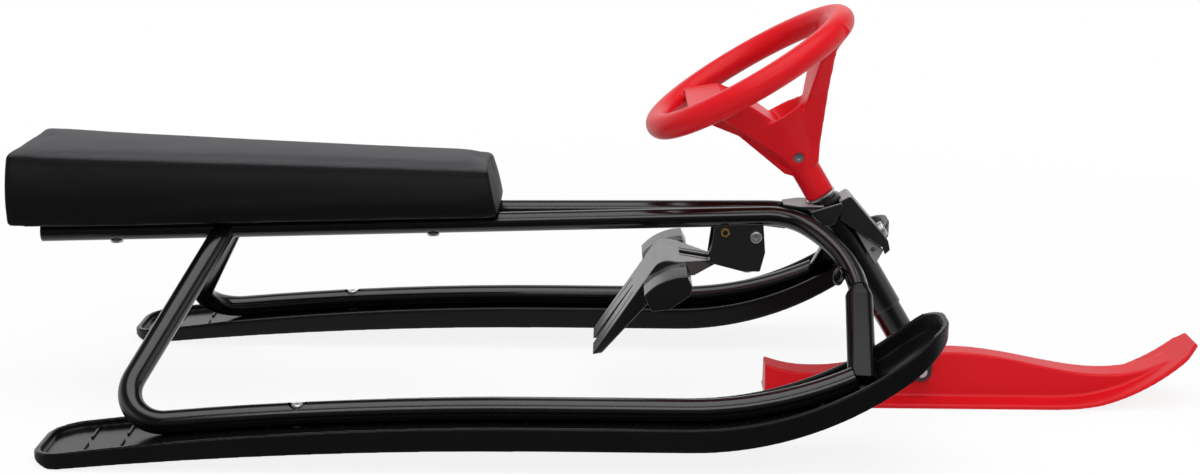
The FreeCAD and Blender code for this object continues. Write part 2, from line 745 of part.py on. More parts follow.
def make_rope_eye(top_rail_solid):
    # A wire ring welded to the rear of the arch.
    turn = math.radians(EYE_TURN)
    facing = V(math.cos(turn), -math.sin(turn), 0)
    centre = V(EYE_X, -EYE_Y, EYE_Z)
    eye = Part.makeTorus((EYE_D - EYE_WIRE_D) / 2, EYE_WIRE_D / 2, centre, facing)
    return eye.cut(top_rail_solid)


def make_end_plugs():
    plugs = []
    for side in (-1, 1):
        rear, head = rail_ends(side)
        along = (head - rear).normalize()
        cap = cylinder(TOP_TUBE_D, rear - along * PLUG_CAP, along, PLUG_CAP)
        cap = cap.makeFillet(PLUG_CAP / 2, [cap.Edges[2]])
        stem = cylinder(TOP_TUBE_D - 2 * TUBE_WALL, rear, along, PLUG_DEPTH)
        plugs.append(cap.fuse(stem).removeSplitter())
    return plugs


# Seat, built level from its rear end and then laid on the rails


def on_rails(shape):
    placed = shape.copy()
    base = rail_axis_point(SEAT_REAR_X)
    turn = FreeCAD.Rotation(ACROSS, -math.degrees(rail_slope()))
    placed.Placement = FreeCAD.Placement(V(SEAT_REAR_X, 0, base.z) + seat_up() * (TOP_R + WELD_GAP), turn)
    return placed


def seat_half_width(x):
    return SEAT_REAR_HALF_WIDTH + (SEAT_FRONT_HALF_WIDTH - SEAT_REAR_HALF_WIDTH) * x / SEAT_LENGTH


def seat_height(x):
    return SEAT_REAR_HEIGHT + (SEAT_FRONT_HEIGHT - SEAT_REAR_HEIGHT) * x / SEAT_LENGTH


def board_solid(grow):
    inset = BOARD_INSET - grow
    rear = inset
    front = SEAT_LENGTH - inset
    points = [(rear, -seat_half_width(rear) + inset), (front, -seat_half_width(front) + inset),
              (front, seat_half_width(front) - inset), (rear, seat_half_width(rear) - inset)]
    return plan_prism(points, -grow, BOARD_THICKNESS + grow)


def seat_section(x, shrink):
    # Cross section of the cushion: flat bottom, full sides that lean in, round upper edges and a
    # crown. Towards the front the section leans back, so the top ends before the bottom.
    middle = 1 - abs(2 * x / SEAT_LENGTH - 1)
    w = seat_half_width(x) - SEAT_DRAW_IN * min(1.0, 3 * middle) - shrink
    low = SEAT_LIFT + shrink / 2
    high = seat_height(x) - shrink
    r = SEAT_EDGE_RADIUS - shrink / 2
    top = w - SEAT_SIDE_LEAN
    foot = w - SEAT_FOOT_TUCK
    knee = high - r
    full = low + (knee - low) * 0.4
    bend = r * (1 - math.sqrt(0.5))
    lean = SEAT_FRONT_SLANT * max(0.0, 2 * x / SEAT_LENGTH - 1)

    def place(y, z):
        return V(x - lean * (z - low) / (high - low), y, z)

    edges = [
        arc(place(-foot, low), place(-w, full), place(-top, knee)),
        arc(place(-top, knee), place(-top + bend, high - bend), place(-top + r, high)),
        arc(place(-top + r, high), place(0, high + SEAT_CROWN), place(top - r, high)),
        arc(place(top - r, high), place(top - bend, high - bend), place(top, knee)),
        arc(place(top, knee), place(w, full), place(foot, low)),
        line(place(foot, low), place(-foot, low)),
    ]
    return Part.Wire(edges)


def make_cushion():
    end = SEAT_EDGE_RADIUS
    stations = [(0.0, 0.5 * end), (0.15 * end, 0.22 * end), (0.5 * end, 0.06 * end), (end, 0.0)]
    sections = [seat_section(x, shrink) for x, shrink in stations]
    for share in (0.2, 0.4, 0.6, 0.8):
        sections.append(seat_section(SEAT_LENGTH * share, 0.0))
    sections += [seat_section(SEAT_LENGTH - x, shrink) for x, shrink in reversed(stations)]
    cushion = Part.makeLoft(sections, True, True)
    return on_rails(cushion.cut(board_solid(BOARD_POCKET_GAP)))


def make_seat_board():
    board = on_rails(board_solid(0.0))
    for point in seat_bolt_points():
        board = board.cut(cylinder(TEE_NUT_D, point, seat_up(), 4 * BOARD_THICKNESS))
    return board


def make_seat_bolts():
    bolts = []
    for point in seat_bolt_points():
        under = point - seat_up() * TOP_R
        head = cylinder(SEAT_BOLT_HEAD_D, under - seat_up() * SEAT_BOLT_HEAD, seat_up(), SEAT_BOLT_HEAD)
        head = head.makeFillet(SEAT_BOLT_HEAD / 3, [head.Edges[2]])
        shank = cylinder(SEAT_BOLT_D, under, seat_up(), TOP_TUBE_D + 0.8 * BOARD_THICKNESS)
        bolts.append(head.fuse(shank).removeSplitter())
    return bolts


def make_tee_nuts():
    nuts = []
    for point in seat_bolt_points():
        base = point + seat_up() * (TOP_R + WELD_GAP)
        barrel = cylinder(TEE_NUT_D, base, seat_up(), BOARD_THICKNESS)
        bore = cylinder(SEAT_BOLT_D, base, seat_up(), BOARD_THICKNESS)
        nuts.append(barrel.cut(bore))
    return nuts


# Steering, built on the axis of the column


def spoke_profile(points, half_width):
    # A side view in the plane of one spoke, drawn out to both sides.
    return side_prism(points, -half_width, half_width)


def taper(bounds):
    # A front view of a spoke, given as half widths and heights from its foot to its top.
    points = bounds + [(-half, z) for half, z in reversed(bounds)]
    outline = [V(-WHEEL_D, y, z) for y, z in points]
    outline.append(outline[0])
    return Part.Face(Part.makePolygon(outline)).extrude(V(2 * WHEEL_D, 0, 0))


def make_hub():
    sleeve_r = SLEEVE_D / 2
    cup_r = CUP_D / 2
    outside = [(0, -SLEEVE_BOTTOM), (sleeve_r, -SLEEVE_BOTTOM), (sleeve_r, -SLEEVE_TOP), (cup_r, -CUP_LIP),
               (cup_r - CUP_WALL, -CUP_LIP), (sleeve_r - CUP_WALL / 2, -CUP_FLOOR), (0, -CUP_FLOOR)]
    outline = [V(r, 0, z) for r, z in outside]
    outline.append(outline[0])
    hub = Part.Face(Part.makePolygon(outline)).revolve(V(0, 0, 0), UP, 360)
    return hub


def make_rear_spoke():
    # A broad plate across the rear of the rim that slopes down into the cup, with a rib behind it.
    front = -REAR_SPOKE_CHORD_FRONT
    rear = -REAR_SPOKE_CHORD_REAR
    foot = -SLEEVE_TOP
    top = REAR_SPOKE_CHORD_RISE
    shoulder = (-REAR_SPOKE_SHOULDER, -REAR_SPOKE_SHOULDER_DEPTH)
    back = (-REAR_SPOKE_BACK, -REAR_SPOKE_BACK_DEPTH)
    profile = [(rear, top), (front, -REAR_SPOKE_CHORD_DROP), shoulder, (-REAR_SPOKE_FOOT, -CUP_LIP),
               (0, -CUP_LIP - SPOKE_PLATE), (0, foot), (-REAR_SPOKE_FOOT, foot), back,
               (rear, -SPOKE_PLATE / 2)]
    hub = REAR_SPOKE_HALF_WIDTH_HUB
    cup = REAR_SPOKE_HALF_WIDTH_CUP
    rim = REAR_SPOKE_HALF_WIDTH_RIM
    bounds = [(hub, -SLEEVE_BOTTOM), (hub, foot), (cup, -REAR_SPOKE_SHOULDER_DEPTH),
              (rim, -SPOKE_PLATE / 2), (rim, 2 * top)]
    plate = spoke_profile(profile, rim).common(taper(bounds))
    rib_top = (-REAR_RIB_TOP, -REAR_RIB_TOP_DEPTH)
    rib_profile = [(front, -SPOKE_PLATE), (rear + SPOKE_PLATE, -SPOKE_PLATE / 2), rib_top,
                   (-REAR_RIB_KNEE, -CUP_LIP), (-REAR_RIB_FOOT, foot + SPOKE_PLATE),
                   (-SLEEVE_D / 2, foot), (0, foot), (0, -CUP_FLOOR)]
    return plate.fuse(spoke_profile(rib_profile, REAR_RIB_HALF_WIDTH))


def front_spoke_face(height, inward):
    # How far out the rider's side of the front spoke is at a height, moved forwards by a wall.
    ring_r = (WHEEL_D - WHEEL_RIM_D) / 2
    slope = math.radians(FRONT_SPOKE_SLOPE)
    out = ring_r - FRONT_SPOKE_INSET - (FRONT_SPOKE_RISE - height) / math.tan(slope)
    return out + inward / math.sin(slope)


def make_front_spoke():
    # A flat plate from the front of the cup up to the rim, with side walls that close on the hub.
    ring_r = (WHEEL_D - WHEEL_RIM_D) / 2
    foot = -SLEEVE_TOP
    rise = FRONT_SPOKE_RISE
    front = ring_r - FRONT_SPOKE_FRONT_INSET
    floor = front_spoke_face(-CUP_FLOOR, 0)
    heel_depth = FRONT_SPOKE_HEEL_DEPTH
    profile = [(ring_r, 0), (front_spoke_face(rise, 0), rise), (floor, -CUP_FLOOR), (0, -CUP_FLOOR),
               (0, foot), (SLEEVE_D / 2, foot), (FRONT_SPOKE_HEEL, -heel_depth),
               (front, -FRONT_SPOKE_FRONT_DEPTH), (ring_r, -WHEEL_RIM_D / 4)]
    hub = FRONT_SPOKE_HALF_WIDTH_HUB
    cup = FRONT_SPOKE_HALF_WIDTH_CUP
    rim = FRONT_SPOKE_HALF_WIDTH_RIM
    rim_depth = FRONT_SPOKE_FRONT_DEPTH / 2
    bounds = [(hub, -SLEEVE_BOTTOM), (hub, -heel_depth), (cup, -CUP_LIP), (rim, -rim_depth), (rim, ring_r)]
    spoke = spoke_profile(profile, rim).common(taper(bounds))
    wall = FRONT_SPOKE_WALL
    low = -heel_depth + 2 * wall
    ahead = 2 * ring_r
    top_corner = (front_spoke_face(-rim_depth, wall), -rim_depth)
    lip_corner = (front_spoke_face(-CUP_LIP, wall), -CUP_LIP)
    pocket_profile = [top_corner, lip_corner, (CUP_D / 2 - wall, low), (ahead, low), (ahead, -rim_depth)]
    pocket_bounds = [(hub - wall, low), (cup - wall, -CUP_LIP), (rim - wall, -rim_depth)]
    return spoke, spoke_profile(pocket_profile, rim).common(taper(pocket_bounds))


def make_wheel():
    rim = Part.makeTorus((WHEEL_D - WHEEL_RIM_D) / 2, WHEEL_RIM_D / 2)
    front_spoke, pocket = make_front_spoke()
    hub = make_hub()
    wheel = rim.fuse([hub, make_rear_spoke(), front_spoke.cut(pocket)])
    bore = cylinder(COLUMN_D, V(0, 0, -SLEEVE_BOTTOM), UP, SLEEVE_BOTTOM - COLUMN_TOP)
    across = cross_cylinder(CLAMP_D + 2 * SCREW_CLEARANCE, 0, -CLAMP_AT, -CUP_D, CUP_D)
    near = cross_cylinder(CLAMP_HEAD_D + 2 * PLAY, 0, -CLAMP_AT, -CUP_D, -CLAMP_HALF_GRIP)
    far = cross_cylinder(SMALL_NUT_ACROSS * HEX_CORNERS + 2 * PLAY, 0, -CLAMP_AT, CLAMP_HALF_GRIP, CUP_D)
    wheel = wheel.cut([bore, across, near, far]).removeSplitter()
    return on_column(wheel)


def make_clamp_screw():
    head = cross_cylinder(CLAMP_HEAD_D, 0, -CLAMP_AT, -CLAMP_HALF_GRIP - CLAMP_HEAD, -CLAMP_HALF_GRIP)
    shank = cross_cylinder(CLAMP_D, 0, -CLAMP_AT, -CLAMP_HALF_GRIP, CLAMP_HALF_GRIP + CLAMP_HEAD)
    socket = hexagon(CLAMP_D / 2, V(0, -CLAMP_HALF_GRIP - CLAMP_HEAD, -CLAMP_AT), ACROSS, CLAMP_HEAD / 2)
    return on_column(head.fuse(shank).cut(socket).removeSplitter())


def make_clamp_nut():
    nut = hexagon(SMALL_NUT_ACROSS, V(0, CLAMP_HALF_GRIP, -CLAMP_AT), ACROSS, CLAMP_HEAD)
    bore = cross_cylinder(CLAMP_D, 0, -CLAMP_AT, CLAMP_HALF_GRIP, CLAMP_HALF_GRIP + CLAMP_HEAD)
    return on_column(nut.cut(bore))


def make_column():
    length = column_end() - COLUMN_TOP
    body = ring(COLUMN_D, COLUMN_D - 2 * COLUMN_WALL, V(0, 0, -column_end()), UP, length)
    across = cross_cylinder(CLAMP_D + 2 * SCREW_CLEARANCE, 0, -CLAMP_AT, -COLUMN_D, COLUMN_D)
    return on_column(body.cut(across))


def column_end():
    # The column stops where its lowest edge would come through the fork's bridge.
    return (WHEEL_Z - FORK_BRIDGE_Z - COLUMN_D / 2 * math.sin(RAKE)) / math.cos(RAKE) - PLAY


def washer_ring(outer, top, thickness):
    return on_column(ring(outer, COLUMN_D + 2 * WELD_GAP, V(0, 0, -top - thickness), UP, thickness))


def make_bush(flange_at, into):
    # A flanged plastic bush. into is +1 where its sleeve points up the tube and -1 where it points down.
    bore = COLUMN_D + 2 * RUNNING_CLEARANCE
    inner = HEAD_TUBE_D - 2 * HEAD_TUBE_WALL
    start = V(0, 0, -flange_at)
    flange = ring(HEAD_TUBE_D, bore, start, V(0, 0, -into), BUSH_FLANGE)
    sleeve = ring(inner, bore, start, V(0, 0, into), BUSH_LENGTH)
    return on_column(flange.fuse(sleeve).removeSplitter())


def head_tube_solid():
    return on_column(cylinder(HEAD_TUBE_D, V(0, 0, -HEAD_BOTTOM), UP, HEAD_TUBE_LENGTH))


def make_head_tube():
    inner = HEAD_TUBE_D - 2 * HEAD_TUBE_WALL
    body = ring(HEAD_TUBE_D, inner, V(0, 0, -HEAD_BOTTOM), UP, HEAD_TUBE_LENGTH)
    return on_column(body)


# Steering head plates


def shield_reach(down):
    share = (down - HEAD_TOP - SHIELD_BELOW_TOP) / SHIELD_LENGTH
    return SHIELD_TOP_REACH + (SHIELD_BOTTOM_REACH - SHIELD_TOP_REACH) * share


def shield_places():
    top = HEAD_TOP + SHIELD_BELOW_TOP
    bottom = top + SHIELD_LENGTH
    return top, bottom


def make_shield(head_solid):
    # A folded plate in front of the head tube: front wall, top and two flanks.
    top, bottom = shield_places()
    reach = SHIELD_TOP_REACH
    low = SHIELD_BOTTOM_REACH
    outside = [(0.5 * reach, -top), (reach, -top), (low, -bottom), (low - PLATE, -bottom - 3 * PLATE),
               (low - 3.2 * PLATE, -bottom - 3.5 * PLATE), (low - 2.7 * PLATE, -bottom - PLATE),
               (0.42 * reach, -top - 0.48 * SHIELD_LENGTH), (0.2 * reach, -top - 0.27 * SHIELD_LENGTH)]
    body = side_prism(outside, -SHIELD_HALF_WIDTH, SHIELD_HALF_WIDTH)
    corner = [e for e in body.Edges if e.CenterOfMass.distanceToPoint(V(reach, 0, -top)) < 0.1]
    body = body.makeFillet(PLATE, corner)
    deep = -2 * bottom
    inside = [(-HEAD_TUBE_D, -top - PLATE), (reach - PLATE, -top - PLATE), (low - PLATE, -bottom),
              (low - PLATE, deep), (-HEAD_TUBE_D, deep)]
    hollow = side_prism(inside, -SHIELD_HALF_WIDTH + PLATE, SHIELD_HALF_WIDTH - PLATE)
    hole = cylinder(FRONT_BOLT_D + 2 * SCREW_CLEARANCE, V(low, 0, -FRONT_BOLT_AT), V(-1, 0, 0), reach)
    seat = V(shield_reach(FRONT_BOLT_AT), 0, -FRONT_BOLT_AT)
    spot_face = cylinder(FRONT_BOLT_HEAD_D + 2 * PLAY, seat, V(1, 0, 0), FRONT_BOLT_HEAD)
    return on_column(body.cut(hollow).cut(hole).cut(spot_face)).cut(head_solid)


def make_upper_gusset(top_rail_solid):
    # A plate on the outside of the shield's flank that stands on the top rail.
    rear = -UPPER_GUSSET_REAR
    front = UPPER_GUSSET_FRONT
    low = -HEAD_TOP - UPPER_GUSSET_DROP
    profile = [(rear, -HEAD_TOP + UPPER_GUSSET_RISE), (front, -HEAD_TOP - UPPER_GUSSET_RISE),
               (front, -HEAD_TOP - 2 * UPPER_GUSSET_RISE), (-0.12 * front, low),
               (-0.45 * front, low + 0.3 * UPPER_GUSSET_RISE), (0.7 * rear, low + UPPER_GUSSET_RISE)]
    inner = SHIELD_HALF_WIDTH + WELD_GAP
    plate = side_prism(profile, -inner - PLATE, -inner)
    return on_column(plate).cut(top_rail_solid)


def lower_gusset_profile():
    top, bottom = shield_places()
    front = SHIELD_BOTTOM_REACH - LOWER_GUSSET_SETBACK
    low = -bottom - LOWER_GUSSET_DROP
    return [(0.45 * SHIELD_TOP_REACH, -top - 0.56 * SHIELD_LENGTH), (front, 0.5 * (low - bottom)),
            (0.48 * front, low), (0.0, low + PLATE), (0.0, -top - 0.6 * SHIELD_LENGTH)]


def tow_hole_at():
    top, bottom = shield_places()
    return HEAD_TUBE_D / 2 + 0.4 * TOW_HOLE_D, bottom + TOW_HOLE_D / 2


def make_lower_gusset(head_solid):
    outer = LOWER_GUSSET_OUT
    plate = side_prism(lower_gusset_profile(), -outer, -outer + PLATE)
    reach, down = tow_hole_at()
    hole = cross_cylinder(TOW_HOLE_D, reach, -down, -2 * outer, 0)
    return on_column(plate.cut(hole)).cut(head_solid)


def make_top_plate(keep_outs):
    rear_top = rail_axis_point(TOP_PLATE_REAR_X).z + TOP_R
    half = TOP_PLATE_HALF_WIDTH
    rear = TOP_PLATE_REAR_X
    front = TOP_PLATE_FRONT_X
    points = [(rear, -0.55 * half), (rear + 0.7 * half, -half), (front, -half), (front, half),
              (rear + 0.7 * half, half), (rear, 0.55 * half)]
    plate = plan_prism(points, rear_top - PLATE / 2, rear_top + PLATE / 2)
    notch = cylinder(HEAD_TUBE_D + 2 * WELD_GAP, V(0, 0, -HEAD_BOTTOM), UP, HEAD_BOTTOM)
    plate = plate.cut(on_column(notch))
    for solid in keep_outs:
        plate = plate.cut(solid)
    return max(plate.Solids, key=lambda s: s.Volume)


def make_front_bolt():
    reach = shield_reach(FRONT_BOLT_AT)
    head = cylinder(FRONT_BOLT_HEAD_D, V(reach, 0, -FRONT_BOLT_AT), V(1, 0, 0), FRONT_BOLT_HEAD)
    head = head.makeFillet(FRONT_BOLT_HEAD / 2.5, [head.Edges[0]])
    start = HEAD_TUBE_D / 2 + WELD_GAP
    shank = cylinder(FRONT_BOLT_D, V(start, 0, -FRONT_BOLT_AT), V(1, 0, 0), reach - start)
    socket = hexagon(FRONT_BOLT_D / 2, V(reach + FRONT_BOLT_HEAD, 0, -FRONT_BOLT_AT), V(-1, 0, 0),
                     FRONT_BOLT_HEAD / 2)
    return on_column(head.fuse(shank).cut(socket).removeSplitter())


# Ski fork and ski


def make_fork():
    outer = FORK_CHEEK_GAP / 2 + FORK_PLATE
    axis_x = WHEEL_X + (WHEEL_Z - FORK_BRIDGE_Z) * math.tan(RAKE)
    rear = axis_x - FORK_BRIDGE_REAR
    front = axis_x + FORK_BRIDGE_FRONT
    bridge = Part.makeBox(front - rear, 2 * outer, FORK_PLATE, V(rear, -outer, FORK_BRIDGE_Z - FORK_PLATE))
    length = column_end() - FORK_TOP + FORK_SOCKET_D
    socket = on_column(ring(FORK_SOCKET_D, COLUMN_D, V(0, 0, -FORK_TOP - length), UP, length))
    above = Part.makeBox(2 * WHEEL_Z, 4 * outer, WHEEL_Z, V(0, -2 * outer, FORK_BRIDGE_Z))
    fork = bridge.fuse(socket.common(above))
    for y in (-outer, FORK_CHEEK_GAP / 2):
        web_points = [(rear, FORK_BRIDGE_Z), (front, FORK_BRIDGE_Z),
                      (SKI_PIVOT_X + FORK_EAR_RADIUS, SKI_PIVOT_Z),
                      (SKI_PIVOT_X - FORK_EAR_RADIUS, SKI_PIVOT_Z)]
        web = side_prism(web_points, y, y + FORK_PLATE)
        ear = cross_cylinder(2 * FORK_EAR_RADIUS, SKI_PIVOT_X, SKI_PIVOT_Z, y, y + FORK_PLATE)
        fork = fork.fuse(web).fuse(ear)
    hole = cross_cylinder(SKI_PIVOT_D + 2 * WELD_GAP, SKI_PIVOT_X, SKI_PIVOT_Z, -2 * outer, 2 * outer)
    return fork.cut(hole).removeSplitter()


def ski_base_z(x):
    if x <= SKI_UPTURN_X:
        return 0.0
    run = x - SKI_UPTURN_X
    return SKI_UPTURN_RADIUS - math.sqrt(SKI_UPTURN_RADIUS ** 2 - run * run)


def ski_side(lift):
    # The ski's side line at a height above its sole, from the rear to the tip.
    radius = SKI_UPTURN_RADIUS - lift
    tip_turn = math.degrees(math.asin((SKI_TIP_X - SKI_UPTURN_X) / SKI_UPTURN_RADIUS))
    rear = V(SKI_REAR_X, 0, lift)
    bend = V(SKI_UPTURN_X, 0, lift)
    mid = arc_point(SKI_UPTURN_X, SKI_UPTURN_RADIUS, radius, tip_turn / 2)
    tip = arc_point(SKI_UPTURN_X, SKI_UPTURN_RADIUS, radius, tip_turn)
    return [line(rear, bend), arc(bend, mid, tip)], rear, tip


def ski_band(lift_low, lift_high, half_width):
    low_edges, low_rear, low_tip = ski_side(lift_low)
    high_edges, high_rear, high_tip = ski_side(lift_high)
    edges = low_edges + high_edges + [line(low_tip, high_tip), line(low_rear, high_rear)]
    face = Part.Face(Part.Wire(Part.__sortEdges__(edges)))
    face.translate(V(0, -half_width, 0))
    return face.extrude(V(0, 2 * half_width, 0))


def ski_outline():
    wide = SKI_WIDTH / 2
    narrow = SKI_TIP_WIDTH / 2
    rear = SKI_REAR_X
    cut = SKI_REAR_CORNER
    chop = SKI_TIP_CORNER
    points = [(rear, -wide + cut), (rear + cut, -wide), (SKI_TAPER_X, -wide), (SKI_TIP_X - chop, -narrow),
              (SKI_TIP_X, -narrow + chop), (SKI_TIP_X, narrow - chop), (SKI_TIP_X - chop, narrow),
              (SKI_TAPER_X, wide), (rear + cut, wide), (rear, wide - cut)]
    prism = plan_prism(points, -1, SKI_UPTURN_RADIUS)
    corners = [e for e in prism.Edges if abs(e.tangentAt(e.FirstParameter).z) > 0.99]
    return prism.makeFillet(0.4 * chop, corners)


def spine_line():
    return [(SKI_REAR_X, SPINE_REAR_Z), (SPINE_WAIST_X, SPINE_WAIST_Z), (SPINE_HUMP_X, SPINE_HUMP_Z),
            (SPINE_SHOULDER_X, SPINE_SHOULDER_Z), (SPINE_LOW_X, SPINE_LOW_Z),
            (SPINE_END_X, ski_base_z(SPINE_END_X) + SKI_BASE)]


def smooth_spine(drop):
    # The spine's upper line as one smooth curve through its few heights.
    points = [V(x, 0, z - drop) for x, z in spine_line()]
    curve = Part.BSplineCurve()
    curve.interpolate(points)
    return curve.toShape(), points[0], points[-1]


def spine_solid(drop, narrow, x_rear, x_front):
    upper, rear_top, front_top = smooth_spine(drop)
    deep = -SKI_UPTURN_RADIUS
    rear_low = V(rear_top.x, 0, deep)
    front_low = V(front_top.x, 0, deep)
    edges = [upper, line(front_top, front_low), line(front_low, rear_low), line(rear_low, rear_top)]
    face = Part.Face(Part.Wire(Part.__sortEdges__(edges)))
    face.translate(V(0, -SKI_WIDTH / 2, 0))
    side = face.extrude(V(0, SKI_WIDTH, 0))
    foot = SPINE_FOOT_WIDTH / 2 - narrow
    top = SPINE_TOP_WIDTH / 2 - narrow
    slope = (foot - top) / SPINE_REF_Z
    high = 2 * SPINE_REF_Z
    outline = [V(x_rear, -foot, 0), V(x_rear, foot, 0), V(x_rear, foot - slope * high, high),
               V(x_rear, -foot + slope * high, high), V(x_rear, -foot, 0)]
    wedge = Part.Face(Part.makePolygon(outline)).extrude(V(x_front - x_rear, 0, 0))
    return side.common(wedge)


def make_ski():
    half = SKI_WIDTH
    base = ski_band(0, SKI_BASE, half)
    above_base = ski_band(0, SKI_UPTURN_RADIUS / 2, half)
    spine = spine_solid(0, 0, SKI_REAR_X, SPINE_END_X).common(above_base)
    ski = base.fuse(spine).common(ski_outline())
    cavity = spine_solid(SPINE_WALL, SPINE_WALL, SKI_REAR_X + SPINE_WALL, SPINE_LOW_X)
    ski = ski.cut(cavity).removeSplitter()
    wide = SPINE_FOOT_WIDTH
    hole = cross_cylinder(SKI_SLEEVE_D, SKI_PIVOT_X, SKI_PIVOT_Z, -wide, wide)
    return ski.cut(hole)


def make_ski_sleeve():
    end = FORK_CHEEK_GAP / 2 - PLAY
    outer = cross_cylinder(SKI_SLEEVE_D, SKI_PIVOT_X, SKI_PIVOT_Z, -end, end)
    return outer.cut(cross_cylinder(SKI_PIVOT_D + 2 * RUNNING_CLEARANCE, SKI_PIVOT_X, SKI_PIVOT_Z, -end, end))


def cross_bolt(diameter, x, z, y_head, y_end, head_d, head):
    # A bolt across the sled with its round head on the right-hand side.
    top = cross_cylinder(head_d, x, z, y_head - head, y_head)
    top = top.makeFillet(head / 3, [e for e in top.Edges if abs(e.CenterOfMass.y - (y_head - head)) < 0.01])
    shank = cross_cylinder(diameter, x, z, y_head, y_end)
    socket = hexagon(diameter / 2, V(x, y_head - head, z), ACROSS, head / 2)
    return top.fuse(shank).cut(socket).removeSplitter()


def cross_nut(across_flats, diameter, x, z, y_seat, height):
    nut = hexagon(across_flats, V(x, y_seat, z), ACROSS, height)
    low = min(y_seat, y_seat + height)
    return nut.cut(cross_cylinder(diameter, x, z, low, low + abs(height)))


# Brake


def bracket_profile():
    top = BRAKE_PIVOT_Z + BRACKET_RISE
    low = BRAKE_PIVOT_Z - BRACKET_DROP
    rear = BRAKE_PIVOT_X - BRACKET_REAR
    front = BRAKE_PIVOT_X + BRACKET_FRONT
    floor_rear = front - BRACKET_FRONT / 2 - BRACKET_FLOOR_LENGTH
    return [(rear + 0.11 * BRACKET_REAR, top), (rear, low + 0.24 * BRACKET_DROP), (floor_rear, low),
            (front - BRACKET_FRONT / 2, low), (front, low + 0.55 * BRACKET_DROP),
            (front - 0.25 * BRACKET_FRONT, top)]


def make_bracket(rail_solids):
    # Two cheeks that stand against the rails, joined by a short floor.
    outer = BRACKET_HALF_WIDTH
    inner = outer - BRACKET_PLATE
    low = BRAKE_PIVOT_Z - BRACKET_DROP
    floor_rear = BRAKE_PIVOT_X + BRACKET_FRONT / 2 - BRACKET_FLOOR_LENGTH
    bracket = side_prism(bracket_profile(), -outer, -inner).fuse(side_prism(bracket_profile(), inner, outer))
    floor = Part.makeBox(BRACKET_FLOOR_LENGTH, 2 * inner, BRACKET_PLATE, V(floor_rear, -inner, low))
    bracket = bracket.fuse(floor)
    for x, z, d in ((BRAKE_PIVOT_X, BRAKE_PIVOT_Z, BRAKE_PIVOT_D), (STOP_PIN_X, STOP_PIN_Z, STOP_PIN_D)):
        bracket = bracket.cut(cross_cylinder(d, x, z, -2 * outer, 2 * outer))
    bracket = bracket.cut(cylinder(ANCHOR_D, V(ANCHOR_X, 0, 0), UP, BRAKE_PIVOT_Z))
    for solid in rail_solids:
        bracket = bracket.cut(solid)
    return bracket.removeSplitter()


def make_anchor_bolt():
    under = BRAKE_PIVOT_Z - BRACKET_DROP
    nut = 0.6 * ANCHOR_HEAD
    head = cylinder(BOLT_HEAD_D * 0.8, V(ANCHOR_X, 0, under - ANCHOR_HEAD), UP, ANCHOR_HEAD)
    shank = cylinder(ANCHOR_D, V(ANCHOR_X, 0, under), UP, BRACKET_PLATE + 1.3 * nut)
    top = hexagon(SMALL_NUT_ACROSS, V(ANCHOR_X, 0, under + BRACKET_PLATE), UP, nut)
    return head.fuse(shank).fuse(top).removeSplitter()


def lever_places():
    # The bend over the pegs, and the directions of claw and arm as seen from the side.
    bend = V(BRAKE_PIVOT_X - LEVER_BEND_BACK, 0, BRAKE_PIVOT_Z - LEVER_BEND_DROP)
    claw_turn = math.radians(LEVER_CLAW_SLOPE)
    arm_turn = math.radians(LEVER_ARM_SLOPE)
    claw = V(math.cos(claw_turn), 0, math.sin(claw_turn))
    arm = V(math.cos(arm_turn), 0, -math.sin(arm_turn))
    under_claw = V(claw.z, 0, -claw.x)
    under_arm = V(arm.z, 0, -arm.x)
    return bend, claw, arm, under_claw, under_arm


def lever_profile():
    # Side view: claw up to the bend, arm down to the bracket, fork up to the pivot. The shoulder of
    # the fork stops under the pin.
    bend, claw, arm, under_claw, under_arm = lever_places()
    tip = bend - claw * LEVER_CLAW_LENGTH
    heel = tip + under_claw * CLAW_TIP + claw * CLAW_TIP_SETBACK
    share = under_claw.dot(under_arm)
    deep_claw = (LEVER_CLAW_DEPTH - LEVER_ARM_DEPTH * share) / (1 - share ** 2)
    deep_arm = (LEVER_ARM_DEPTH - LEVER_CLAW_DEPTH * share) / (1 - share ** 2)
    inner_bend = bend + under_claw * deep_claw + under_arm * deep_arm
    arm_top = bend + arm * LEVER_ARM_LENGTH
    arm_low = arm_top + under_arm * LEVER_ARM_END
    arm_mid = inner_bend + arm * LEVER_ARM_FLAT
    shoulder = STOP_PIN_Z - STOP_PIN_D / 2 - LEVER_STOP_GAP
    pivot = (BRAKE_PIVOT_X, BRAKE_PIVOT_Z)
    pivot_low = (BRAKE_PIVOT_X, BRAKE_PIVOT_Z - BRAKE_BOSS_D / 2)
    stop = [(STOP_PIN_X - STOP_PIN_D, shoulder), (STOP_PIN_X + STOP_PIN_D, shoulder)]
    below = [(p.x, p.z) for p in (arm_low, arm_mid, inner_bend, heel)]
    return [(tip.x, tip.z), (bend.x, bend.z), (arm_top.x, arm_top.z)] + stop + [pivot, pivot_low] + below


def channel(first, last, places, widths, deep):
    # A channel along one of the lever's upper faces, between two points of its side view.
    corners = [first + ACROSS * (places[0] - widths[0] / 2), last + ACROSS * (places[1] - widths[1] / 2),
               last + ACROSS * (places[1] + widths[1] / 2), first + ACROSS * (places[0] + widths[0] / 2)]
    corners = [point - deep for point in corners]
    corners.append(corners[0])
    return Part.Face(Part.makePolygon(corners)).extrude(deep * 2)


